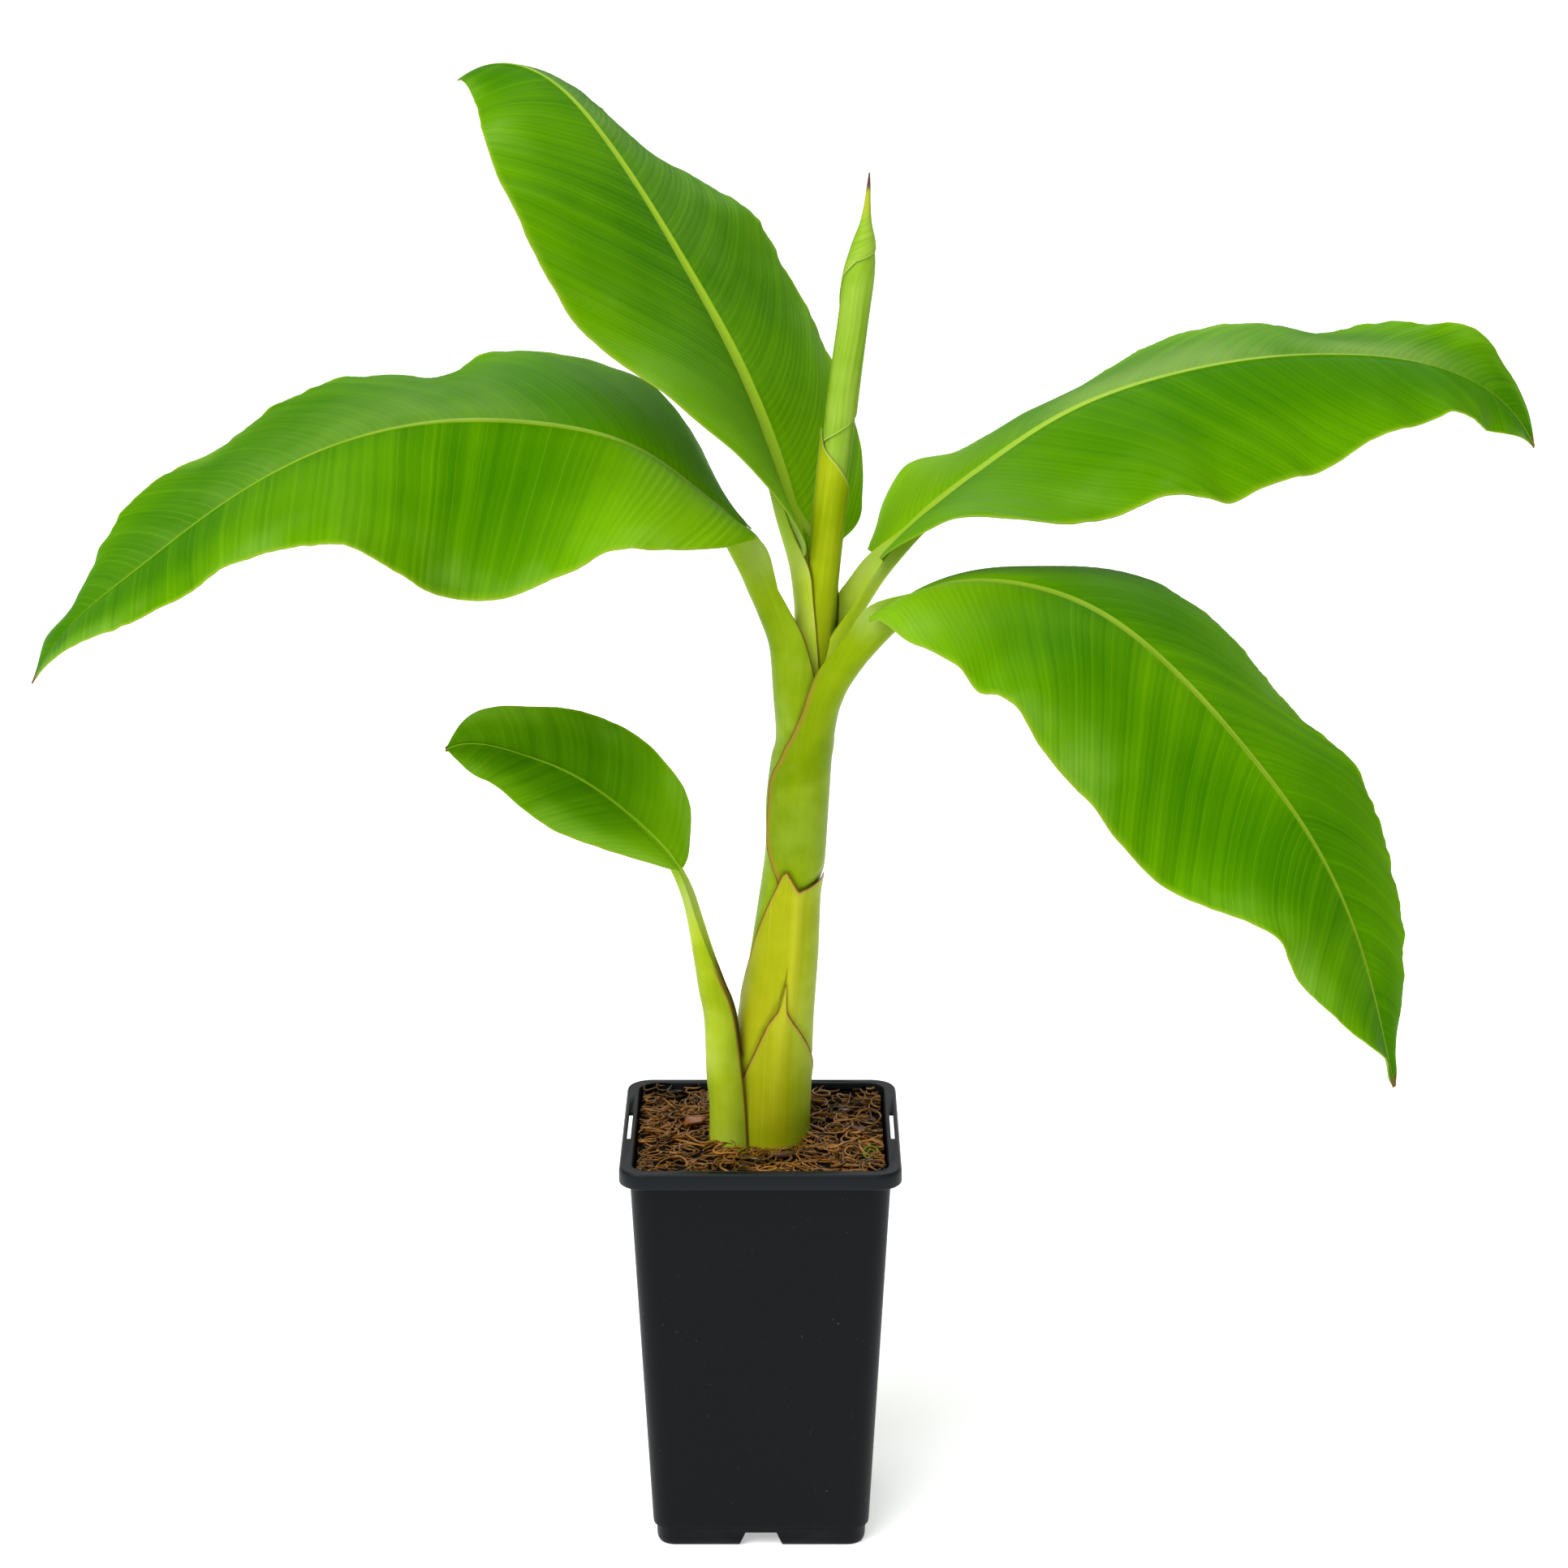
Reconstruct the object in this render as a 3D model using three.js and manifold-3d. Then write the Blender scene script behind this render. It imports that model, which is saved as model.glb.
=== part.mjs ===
// A young banana plant in a square nursery pot: a sheathed stem, four arching leaves,
// one rolled leaf standing upright, and a sucker with a small leaf of its own.
// Millimetres, +Z up. The origin is the centre of the pot's flat underside, +X is to the
// right and -Y is the side of the pot that faces the viewer.
import * as THREE from 'three';
import { mergeVertices } from 'three/addons/utils/BufferGeometryUtils.js';
import Module from 'manifold-3d';

const wasm = await Module();
wasm.setup();

// Air left between two pieces that touch
const GAP = 0.3;

// Square pot: widths are whole widths, measured across the flats
const POT = {
  height: 223,
  rimWidth: 150,
  rimLip: 8,
  rimSkirt: 1.8,
  bodyTop: 139,
  bodyFoot: 117,
  footWidth: 113,
  footHeight: 12,
  wall: 1.9,
  floor: 2.2,
  corner: 12,
  rimTop: 1.8,
  bevel: 2,
  slotDepth: 4.2,
  sideSlot: 41,
  frontSlot: 55,
};

// Drain channels pressed up into the pot's floor, open at the middle of each side
const DRAIN = { mouth: 24, roof: 17, height: 8, inner: 24, skin: 1.6, hole: 9, holeAt: 40 };

const SOIL_TOP = 213;

// Outline of the whole stem at a row of heights, sheaths included
const STEM = {
  z: [213, 252, 285, 322, 355, 373, 401, 428, 452, 474],
  x: [6, 7.5, 8.9, 13.7, 16.3, 18.9, 19.8, 22.4, 25, 28],
  y: [12, 10.5, 9.5, 8.5, 7.5, 7, 6, 5, 4, 3.5],
  radius: [22, 21.6, 21.4, 19.2, 17.4, 16.5, 16.3, 15.9, 14.4, 9],
};

const STEM_SIDES = 24;

// The two old cut sheaths: height of the top edge at a row of angles round the stem, where
// 0 is the right side and -90 the front
const SHEATH_WALL = 1.8;
const UPPER_SHEATH = {
  angle: [-255, -225, -180, -150, -120, -105, -90, -75, -60, -15, 30, 75],
  top: [240, 262, 291, 325, 356, 371, 367, 360, 363, 371, 358, 335],
};
const LOWER_SHEATH = {
  angle: [-195, -180, -150, -135, -105, -90, -75, -60, -30, -15, 15, 60],
  top: [223, 229, 244, 254, 286, 301, 287, 284, 267, 258, 245, 224],
};

// Limbs: centre line of the channel, its radius, and how far it wraps round (half angle)
const LIMBS = {
  petiole_left: {
    heading: 186, wall: 4.4,
    path: [[20, 1, 440], [18.6, -2.5, 468], [14, -5, 496], [7.6, -6, 514], [-1, -6, 532], [-8, -6, 546], [-16, -7, 556]],
    radius: [11.5, 12, 10, 8.8, 8.8, 9.6, 9.2],
    wrap: [125, 125, 120, 112, 104, 96, 88],
  },
  petiole_upright: {
    heading: 140, wall: 3.6,
    path: [[27, 7, 452], [29, 8.5, 485], [30, 9, 510], [29.8, 10, 528], [28, 11.5, 541]],
    radius: [11, 11.5, 11.5, 12.5, 13.5],
    wrap: [140, 140, 130, 120, 110],
  },
  petiole_right_upper: {
    heading: 15, wall: 3.8,
    path: [[30, 5, 448], [34, 7, 474], [39.8, 8, 492], [48, 9, 513], [58, 10, 530], [67, 10, 541]],
    radius: [11, 11.5, 10.2, 8.2, 7.8, 8.2],
    wrap: [130, 125, 118, 110, 104, 98],
  },
  petiole_right_lower: {
    heading: -32, wall: 4.2,
    path: [[27, 0, 436], [33, -4, 462], [41, -8, 480], [50, -11.5, 494], [61, -14, 506], [70, -18, 516]],
    radius: [11.5, 12, 10.4, 8.8, 8, 8.2],
    wrap: [125, 125, 118, 108, 98, 90],
  },
  sucker_petiole: {
    heading: 160, wall: 2.4,
    path: [[-23.4, -5, 297], [-26.2, -8, 312], [-30.3, -14, 339], [-36.2, -18.5, 359], [-45, -24.5, 380]],
    radius: [8, 7, 5.4, 4.5, 4.2],
    wrap: [128, 125, 115, 104, 92],
  },
};

// Solid limbs: the sucker's stem and the rolled leaf in its two lengths
const SUCKER = {
  path: [[-14.4, 2.8, 204], [-17.6, 0, 235], [-20, -2, 256], [-22.4, -4, 289], [-24, -5.4, 299]],
  radius: [14.6, 11.6, 10.3, 8.3, 7.4],
};
const SPEAR_FOOT = {
  path: [[30, 4.5, 480], [32.6, 6, 520], [37.5, 6, 578], [41, 6, 606]],
  radius: [6.4, 7.6, 8.3, 8.7],
};
const SPEAR_LEAF = {
  path: [[41, 6, 606], [43.6, 6, 622], [48, 6, 664], [53.1, 6, 702], [55.3, 6, 725], [56.4, 6, 743]],
  radius: [8.7, 8.9, 8.4, 7.3, 2.5, 0.7],
};

// Leaves: a rib that starts at a point, runs on one heading and pitches by the list, with a
// banana blade on both sides of it. lift is the slope of each half away from the rib, and
// each ripple of a margin has its place along the blade, its rise and its spread. A leaf
// that bends round a wide gap is two pieces that meet at the share named bend.
const LEAVES = {
  leaf_left: {
    start: [3.7, -6, 552.7], heading: 186, length: 444, halfWidth: 105, keel: 9, bend: 0.36,
    pitch: [25, 34, 18, 1, -14, -28, -37, -39, -56],
    liftLeft: [-8, -14, -38, -45, -30, -14, -11, -10, -4],
    liftRight: [-6, 18, 17, 9, 10, 12, 24, 20, 6],
    ripplesLeft: [[0.19, 10, 0.04], [0.44, -6, 0.05], [0.56, 5, 0.04], [0.78, -3, 0.04]],
    ripplesRight: [[0.18, 4, 0.04], [0.43, -7, 0.04], [0.56, 4, 0.03], [0.7, -8, 0.04], [0.9, -4, 0.03]],
  },
  leaf_upright: {
    start: [22.9, 12, 537.8], heading: 140, length: 374, halfWidth: 100, keel: 8, bend: 1,
    pitch: [74, 68, 59, 52, 50, 46, 36, 9, -30],
    liftLeft: [45, 30, 15, 2, -4, -8, -19, -35, -25],
    liftRight: [5, -2, -10, -12, -10, -15, -26, -20, -15],
    ripplesLeft: [[0.34, -2, 0.05], [0.66, -2, 0.05]],
    ripplesRight: [[0.46, -3, 0.03], [0.54, 5, 0.03], [0.67, -6, 0.04], [0.8, 3, 0.03]],
  },
  leaf_right_upper: {
    start: [59.4, 10, 533.9], heading: 15, length: 425, halfWidth: 95, keel: 8, bend: 0.45,
    pitch: [53, 39, 31, 17, 8, -1, -9, -28, -61],
    liftLeft: [5, -3, -12, -13, -4, 2, 3, 30, 50],
    liftRight: [15, -2, -26, -29, -38, -37, -32, -25, -35],
    ripplesLeft: [[0.04, -6, 0.03], [0.2, -4, 0.03], [0.88, 11, 0.04]],
    ripplesRight: [[0.11, 5, 0.04], [0.35, 4, 0.04], [0.46, -5, 0.03], [0.62, -6, 0.04], [0.8, 5, 0.03], [0.9, -8, 0.04]],
  },
  leaf_right_lower: {
    start: [64.5, -15, 515.5], heading: -32, length: 423, halfWidth: 95, keel: 8, bend: 0.34,
    pitch: [48, 9, -9, -32, -41, -47, -60, -72, -75],
    liftLeft: [-6, -6, -4, -5, -6, 2, 5, 9, 6],
    liftRight: [-14, -15, -16, -18, -26, -36, -20, -12, 0],
    ripplesLeft: [[0.16, -2, 0.04], [0.64, 3, 0.04]],
    ripplesRight: [[0.08, 7, 0.05], [0.28, -6, 0.03], [0.36, 3, 0.03], [0.66, -7, 0.05], [0.78, 7, 0.03], [0.95, 4, 0.03]],
  },
  sucker_leaf: {
    start: [-41.7, -25, 378.4], heading: 160, length: 155, halfWidth: 38, keel: 2.6, bend: 1,
    pitch: [49, 43, 37, 31, 23, 14, 11, -2, -29],
    liftLeft: [5, -8, -18, -28, -35, -38, -36, -45, -45],
    liftRight: [15, 40, 60, 60, 53, 58, 72, 75, 60],
    ripplesLeft: [[0.82, -2, 0.05], [0.68, 1.5, 0.04]],
    ripplesRight: [[0.5, -1, 0.04]],
  },
};
const BLADE = { widest: 0.4, tipPower: 1.6, tipRoot: 1.15, baseShare: 0.04, tipHalfWidth: 1.6, stations: 30, columns: 4 };
// Blade thickness as a share of the leaf's length, and how much each half bulges upwards
const BLADE_THICKNESS = 1 / 92;
const BLADE_BULGE = 0.05;

const radians = THREE.MathUtils.degToRad;

// Value of an evenly spaced row of numbers at a share from 0 to 1 of its length, drawn smooth
function along(row, share) {
  const last = row.length - 1;
  const place = THREE.MathUtils.clamp(share, 0, 1) * last;
  const i = Math.min(Math.floor(place), last - 1);
  const f = place - i;
  const at = (k) => row[THREE.MathUtils.clamp(k, 0, last)];
  const [a, b, c, d] = [at(i - 1), at(i), at(i + 1), at(i + 2)];
  return b + 0.5 * f * (c - a + f * (2 * a - 5 * b + 4 * c - d + f * (3 * (b - c) + d - a)));
}

// Straight-line value of a table of keys and values at one key
function table(keys, values, key) {
  let i = 1;
  while (i < keys.length - 1 && key > keys[i]) i += 1;
  const f = THREE.MathUtils.clamp((key - keys[i - 1]) / (keys[i] - keys[i - 1]), 0, 1);
  return THREE.MathUtils.lerp(values[i - 1], values[i], f);
}

// Closed body through a row of rings, each with the same even number of points
function loft(rings) {
  const count = rings[0].length;
  const positions = rings.flat().flatMap((point) => [point.x, point.y, point.z]);
  const faces = [];
  for (let r = 0; r < rings.length - 1; r += 1) {
    for (let i = 0; i < count; i += 1) {
      const a = r * count + i;
      const b = r * count + ((i + 1) % count);
      faces.push(a, b, b + count, a, b + count, a + count);
    }
  }
  const end = (rings.length - 1) * count;
  for (let i = 0; i < count / 2 - 1; i += 1) {
    const [a, b, c, d] = [i, i + 1, count - 2 - i, count - 1 - i];
    faces.push(a, c, b, a, d, c);
    faces.push(end + a, end + b, end + c, end + a, end + c, end + d);
  }
  const geometry = new THREE.BufferGeometry();
  geometry.setAttribute('position', new THREE.Float32BufferAttribute(positions, 3));
  geometry.setIndex(faces);
  return signedVolume(geometry) < 0 ? turnedOut(geometry) : geometry;
}

function signedVolume(geometry) {
  const position = geometry.getAttribute('position');
  const [a, b, c] = [new THREE.Vector3(), new THREE.Vector3(), new THREE.Vector3()];
  let volume = 0;
  for (let i = 0; i < geometry.index.count; i += 3) {
    a.fromBufferAttribute(position, geometry.index.getX(i));
    b.fromBufferAttribute(position, geometry.index.getX(i + 1));
    c.fromBufferAttribute(position, geometry.index.getX(i + 2));
    volume += a.dot(b.cross(c)) / 6;
  }
  return volume;
}

function turnedOut(geometry) {
  const index = Array.from(geometry.index.array);
  for (let i = 0; i < index.length; i += 3) [index[i + 1], index[i + 2]] = [index[i + 2], index[i + 1]];
  geometry.setIndex(index);
  return geometry;
}

// A closed geometry as a solid that can be joined and cut
function solid(geometry) {
  const bare = geometry.clone();
  bare.deleteAttribute('normal');
  bare.deleteAttribute('uv');
  const merged = mergeVertices(bare, 1e-4);
  const vertProperties = Float32Array.from(merged.getAttribute('position').array);
  const triVerts = Uint32Array.from(merged.index.array);
  return new wasm.Manifold(new wasm.Mesh({ numProp: 3, vertProperties, triVerts }));
}

// The largest single body of a solid, as a geometry again
function body(shape) {
  const parts = shape.decompose();
  parts.sort((a, b) => b.volume() - a.volume());
  const mesh = parts[0].getMesh();
  const geometry = new THREE.BufferGeometry();
  geometry.setAttribute('position', new THREE.BufferAttribute(Float32Array.from(mesh.vertProperties), 3));
  geometry.setIndex(Array.from(mesh.triVerts));
  return geometry;
}

// The same surface moved outwards, each corner to where its moved faces meet, so that a
// neighbour can be cut clear of it
function grown(geometry, distance) {
  const bare = geometry.clone();
  bare.deleteAttribute('normal');
  bare.deleteAttribute('uv');
  const merged = mergeVertices(bare, 1e-4);
  const position = merged.getAttribute('position');
  const corners = Array.from({ length: position.count }, () => ({ spread: new Float64Array(6), pull: new THREE.Vector3() }));
  const [a, b, c] = [new THREE.Vector3(), new THREE.Vector3(), new THREE.Vector3()];
  for (let i = 0; i < merged.index.count; i += 3) {
    const face = [0, 1, 2].map((k) => merged.index.getX(i + k));
    a.fromBufferAttribute(position, face[0]);
    b.fromBufferAttribute(position, face[1]).sub(a);
    c.fromBufferAttribute(position, face[2]).sub(a);
    const n = b.cross(c).normalize();
    for (const k of face) {
      [n.x * n.x, n.y * n.y, n.z * n.z, n.x * n.y, n.x * n.z, n.y * n.z].forEach((value, m) => {
        corners[k].spread[m] += value;
      });
      corners[k].pull.add(n);
    }
  }
  const soften = 0.02;
  corners.forEach(({ spread: [xx, yy, zz, xy, xz, yz], pull }, i) => {
    const matrix = new THREE.Matrix3().set(xx + soften, xy, xz, xy, yy + soften, yz, xz, yz, zz + soften);
    const move = pull.clone().applyMatrix3(matrix.invert()).clampLength(0, 3).multiplyScalar(distance);
    position.setXYZ(i, position.getX(i) + move.x, position.getY(i) + move.y, position.getZ(i) + move.z);
  });
  return merged;
}

// A geometry with its neighbours cut out of it, a gap wider than they are
function clearOf(geometry, neighbours, gap = GAP * 1.15) {
  let shape = solid(geometry);
  for (const neighbour of neighbours) shape = shape.subtract(solid(grown(neighbour, gap)));
  return body(shape);
}

// A limb cut flat at the top of the soil
function cutAtSoil(geometry) {
  const depth = 60;
  const ground = box(POT.rimWidth, POT.rimWidth, depth, 0, 0, SOIL_TOP + GAP - depth / 2);
  return body(solid(geometry).subtract(solid(ground)));
}

// Directions along, across and above a limb that runs on a heading with a pitch
function limbFrame(heading, pitch) {
  const [h, p] = [radians(heading), radians(pitch)];
  const run = new THREE.Vector3(Math.cos(p) * Math.cos(h), Math.cos(p) * Math.sin(h), Math.sin(p));
  const left = new THREE.Vector3(-Math.sin(h), Math.cos(h), 0);
  return { run, left, up: new THREE.Vector3().crossVectors(run, left) };
}

// Point beside a centre: so far to the left and so far above
function beside(centre, frame, left, up) {
  return centre.clone().addScaledVector(frame.left, left).addScaledVector(frame.up, up);
}

// Square with rounded corners, level at height z
function squareRing(width, corner, z, arcSteps = 3) {
  const ring = [];
  const reach = width / 2 - corner;
  for (let quarter = 0; quarter < 4; quarter += 1) {
    for (let step = 0; step <= arcSteps; step += 1) {
      const angle = (quarter + step / arcSteps) * (Math.PI / 2);
      const [sx, sy] = [[1, 1], [-1, 1], [-1, -1], [1, -1]][quarter];
      ring.push(new THREE.Vector3(sx * reach + corner * Math.cos(angle), sy * reach + corner * Math.sin(angle), z));
    }
  }
  return ring;
}

// Straight prism under the pot's floor along one of four directions, narrower at its roof
function drainPrism(turn, margin) {
  const [low, high] = [DRAIN.mouth / 2 + margin, DRAIN.roof / 2 + margin];
  const [from, to] = [DRAIN.inner - margin, POT.rimWidth];
  const ends = [from, to].map((x) => [
    new THREE.Vector3(x, -low, -5),
    new THREE.Vector3(x, -high, DRAIN.height + margin),
    new THREE.Vector3(x, high, DRAIN.height + margin),
    new THREE.Vector3(x, low, -5),
  ]);
  return loft(ends).rotateZ(turn * (Math.PI / 2));
}

function box(width, depth, height, x, y, z) {
  return new THREE.BoxGeometry(width, depth, height).translate(x, y, z);
}

// Inside of the pot, set back from the walls and the floor by an extra margin
function cavity(margin, top) {
  const bottomRound = 3;
  const bodyWidth = (z) => THREE.MathUtils.lerp(POT.bodyFoot, POT.bodyTop, z / (POT.height - POT.rimLip));
  const inside = (z) => bodyWidth(z) - 2 * (POT.wall + margin);
  const low = POT.floor + margin;
  const footInside = POT.footWidth - 2 * (POT.wall + margin);
  let shape = solid(loft([
    squareRing(footInside - bottomRound, POT.corner - 5, low),
    squareRing(footInside, POT.corner - 4, low + bottomRound),
    squareRing(inside(POT.footHeight + bottomRound), POT.corner - 3, POT.footHeight + bottomRound),
    squareRing(inside(top), POT.corner - 1.5, top),
  ]));
  for (let turn = 0; turn < 4; turn += 1) shape = shape.subtract(solid(drainPrism(turn, DRAIN.skin + margin)));
  return shape;
}

// Pot with a rounded foot, a rim that is hollow from below, slots in the rim and drain holes
function potGeometry() {
  const lipFoot = POT.height - POT.rimLip;
  const beyond = 1;
  const slotHeight = 6;
  const holeHeight = 8;
  const shell = solid(loft([
    squareRing(POT.footWidth - 1.5 * POT.bevel, POT.corner - 3, 0),
    squareRing(POT.footWidth, POT.corner - 2, POT.bevel),
    squareRing(POT.footWidth + 0.6, POT.corner - 2, POT.footHeight - 1.4),
    squareRing(POT.bodyFoot, POT.corner - 1, POT.footHeight),
    squareRing(POT.bodyTop, POT.corner, lipFoot),
    squareRing(POT.rimWidth, POT.corner + 2, lipFoot + 0.01),
    squareRing(POT.rimWidth, POT.corner + 2, POT.height - 1),
    squareRing(POT.rimWidth - POT.bevel, POT.corner + 1, POT.height),
  ]));
  const skirtInside = POT.rimWidth - 2 * POT.rimSkirt;
  const underRim = solid(loft([
    squareRing(skirtInside, POT.corner, lipFoot - beyond),
    squareRing(skirtInside, POT.corner, POT.height - POT.rimTop),
  ])).subtract(solid(loft([
    squareRing(POT.bodyTop, POT.corner, lipFoot - 2 * beyond),
    squareRing(POT.bodyTop, POT.corner, POT.height),
  ])));
  let shape = shell.subtract(underRim).subtract(cavity(0, POT.height + beyond));
  for (let turn = 0; turn < 4; turn += 1) {
    const spin = turn * (Math.PI / 2);
    const slot = turn % 2 === 0 ? POT.sideSlot : POT.frontSlot;
    const slotAt = (POT.bodyTop + skirtInside) / 4;
    shape = shape.subtract(solid(drainPrism(turn, 0)));
    shape = shape.subtract(solid(box(POT.slotDepth, slot, slotHeight, slotAt, 0, POT.height).rotateZ(spin)));
    const hole = new THREE.CylinderGeometry(DRAIN.hole / 2, DRAIN.hole / 2, holeHeight, 12);
    hole.rotateX(Math.PI / 2).translate(DRAIN.holeAt, 0, DRAIN.height + beyond).rotateZ(spin);
    shape = shape.subtract(solid(hole));
  }
  return body(shape);
}

function stemAt(z) {
  return {
    x: table(STEM.z, STEM.x, z),
    y: table(STEM.z, STEM.y, z),
    radius: table(STEM.z, STEM.radius, z),
  };
}

// How far a face lies inside the stem's outline where a sheath that ends at top covers it
function coveredDepth(z, top) {
  const fade = 6;
  return (SHEATH_WALL + GAP) * THREE.MathUtils.smoothstep(top + fade - z, -fade, fade);
}

const upperSheathDepth = (z) => coveredDepth(z, Math.max(...LOWER_SHEATH.top));
const pseudostemDepth = (z) => upperSheathDepth(z) + coveredDepth(z, Math.max(...UPPER_SHEATH.top));

function pseudostemGeometry() {
  const sheathTops = [LOWER_SHEATH, UPPER_SHEATH].map(({ top }) => Math.max(...top));
  const fadeRows = sheathTops.flatMap((top) => [0, 4, 8, 12].map((rise) => top + rise));
  const belowSheaths = 232;
  const heights = [SOIL_TOP + GAP, belowSheaths, ...STEM.z.slice(1), ...fadeRows].sort((a, b) => a - b);
  return loft(heights.map((z) => {
    const at = stemAt(z);
    const radius = at.radius - pseudostemDepth(z);
    return Array.from({ length: STEM_SIDES }, (_, i) => {
      const angle = (2 * Math.PI * i) / STEM_SIDES;
      return new THREE.Vector3(at.x + radius * Math.cos(angle), at.y + radius * Math.sin(angle), z);
    });
  }));
}

// Open sheath round the stem: depth is how far its outer face lies inside the outline
function sheathGeometry(sheath, depth) {
  const rows = 9;
  const side = 360 / STEM_SIDES;
  const first = sheath.angle[0];
  const columns = (sheath.angle[sheath.angle.length - 1] - first) / side;
  const foot = SOIL_TOP + GAP;
  const rings = [];
  for (let c = 0; c <= columns; c += 1) {
    const degrees = first + side * c;
    const top = table(sheath.angle, sheath.top, degrees);
    const face = (inset) => Array.from({ length: rows }, (_, r) => {
      const z = foot + ((top - foot) * r) / (rows - 1);
      const at = stemAt(z);
      const radius = at.radius - depth(z) - inset;
      const angle = radians(degrees);
      return new THREE.Vector3(at.x + radius * Math.cos(angle), at.y + radius * Math.sin(angle), z);
    });
    rings.push([...face(0), ...face(SHEATH_WALL).reverse()]);
  }
  return loft(rings);
}

// Smooth line through the points of a limb, with evenly spaced stations
function limbStations(path, count) {
  const curve = new THREE.CatmullRomCurve3(path.map((point) => new THREE.Vector3(...point)));
  return Array.from({ length: count }, (_, i) => {
    const share = i / (count - 1);
    return { share, centre: curve.getPoint(share), run: curve.getTangent(share) };
  });
}

// Channelled limb, a thick C in section, open towards the plant's middle
function channelGeometry(limb) {
  const points = 8;
  return loft(limbStations(limb.path, 13).map(({ share, centre, run }) => {
    const { left } = limbFrame(limb.heading, 0);
    const up = new THREE.Vector3().crossVectors(run, left).normalize();
    const across = new THREE.Vector3().crossVectors(up, run).normalize();
    const frame = { left: across, up };
    const radius = along(limb.radius, share);
    const half = radians(along(limb.wrap, share));
    const arc = (inner) => Array.from({ length: points }, (_, i) => {
      const angle = half * ((2 * i) / (points - 1) - 1);
      const thin = 1 - 0.45 * Math.abs(angle / half);
      const reach = radius - (inner ? limb.wall * thin : 0);
      return beside(centre, frame, reach * Math.sin(angle), -reach * Math.cos(angle));
    });
    return [...arc(false), ...arc(true).reverse()];
  }));
}

// Solid tapering limb with a round section
function roundGeometry(limb, sides, count) {
  return loft(limbStations(limb.path, count).map(({ share, centre, run }) => {
    const across = new THREE.Vector3(0, 1, 0).cross(run).normalize();
    const frame = { left: across, up: new THREE.Vector3().crossVectors(run, across) };
    const radius = along(limb.radius, share);
    return Array.from({ length: sides }, (_, i) => {
      const angle = (2 * Math.PI * i) / sides;
      return beside(centre, frame, radius * Math.cos(angle), radius * Math.sin(angle));
    });
  }));
}

// Outline of a banana blade: share of the greatest half width at a share of its length
function bladeOutline(share) {
  if (share < BLADE.widest) return Math.sqrt(1 - ((BLADE.widest - share) / BLADE.widest) ** 2);
  const beyond = (share - BLADE.widest) / (1 - BLADE.widest);
  return Math.max(0, 1 - beyond ** BLADE.tipPower) ** (1 / BLADE.tipRoot);
}

// Rib of a leaf as a row of points, walked forward from its start
function ribPoints(leaf, steps) {
  const points = [new THREE.Vector3(...leaf.start)];
  for (let i = 0; i < steps; i += 1) {
    const { run } = limbFrame(leaf.heading, along(leaf.pitch, (i + 0.5) / steps));
    points.push(points[i].clone().addScaledVector(run, leaf.length / steps));
  }
  return points;
}

// Rise of a wavy margin at a share of the blade's length
function rippleRise(ripples, share) {
  return ripples.reduce((sum, [place, rise, spread]) => sum + rise * Math.exp(-(((share - place) / spread) ** 2)), 0);
}

// The stretch of a leaf between two shares of its length, as one thin curved solid
function bladeGeometry(leaf, from, to) {
  const fine = 240;
  const rib = ribPoints(leaf, fine);
  const thickness = leaf.length * BLADE_THICKNESS;
  const count = Math.max(8, Math.round(BLADE.stations * (to - from)));
  const rings = [];
  for (let i = 0; i <= count; i += 1) {
    const share = from + ((to - from) * i) / count;
    const place = share * fine;
    const k = Math.min(Math.floor(place), fine - 1);
    const centre = rib[k].clone().lerp(rib[k + 1], place - k);
    const frame = limbFrame(leaf.heading, along(leaf.pitch, share));
    const leastHalfWidth = THREE.MathUtils.lerp(BLADE.baseShare * leaf.halfWidth, BLADE.tipHalfWidth, share);
    const halfWidth = Math.max(leastHalfWidth, leaf.halfWidth * bladeOutline(share));
    const keel = thickness + leaf.keel * (1 - share) ** 1.5;
    const top = [];
    const under = [];
    for (let c = -BLADE.columns; c <= BLADE.columns; c += 1) {
      const out = Math.abs(c) / BLADE.columns;
      const side = Math.sign(c);
      const lift = radians(along(c > 0 ? leaf.liftLeft : leaf.liftRight, share));
      const wave = rippleRise(c > 0 ? leaf.ripplesLeft : leaf.ripplesRight, share);
      const rise = 4 * BLADE_BULGE * halfWidth * out * (1 - out) + wave * out ** 2;
      const reach = out * halfWidth;
      const across = side * (reach * Math.cos(lift) - rise * Math.sin(lift));
      const above = reach * Math.sin(lift) + rise * (c === 0 ? 1 : Math.cos(lift));
      const depth = c === 0 ? keel : thickness;
      // Close to the rib the underside lies straight below, so that the halves don't cross
      const tilt = lift * Math.min(1, reach / (4 * thickness));
      top.push(beside(centre, frame, across, above));
      under.push(beside(centre, frame, across + side * depth * Math.sin(tilt), above - depth * Math.cos(tilt)));
    }
    rings.push([...top, ...under.reverse()]);
  }
  return loft(rings);
}

const group = new THREE.Group();

function add(name, geometry, color, roughness) {
  const mesh = new THREE.Mesh(geometry, new THREE.MeshStandardMaterial({ color, roughness, metalness: 0 }));
  mesh.name = name;
  group.add(mesh);
  return geometry;
}

const COLOURS = {
  pot: 0x22262a, soil: 0x4a3220, stem: 0x8fae2a, oldSheath: 0xb0aa28,
  petiole: 0x93b53a, spear: 0xa8c43c, leaf: 0x4f9a18, suckerLeaf: 0x3f8a18,
};

add('pot', potGeometry(), COLOURS.pot, 0.55);
add('soil', body(cavity(GAP, SOIL_TOP)), COLOURS.soil, 1);

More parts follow.
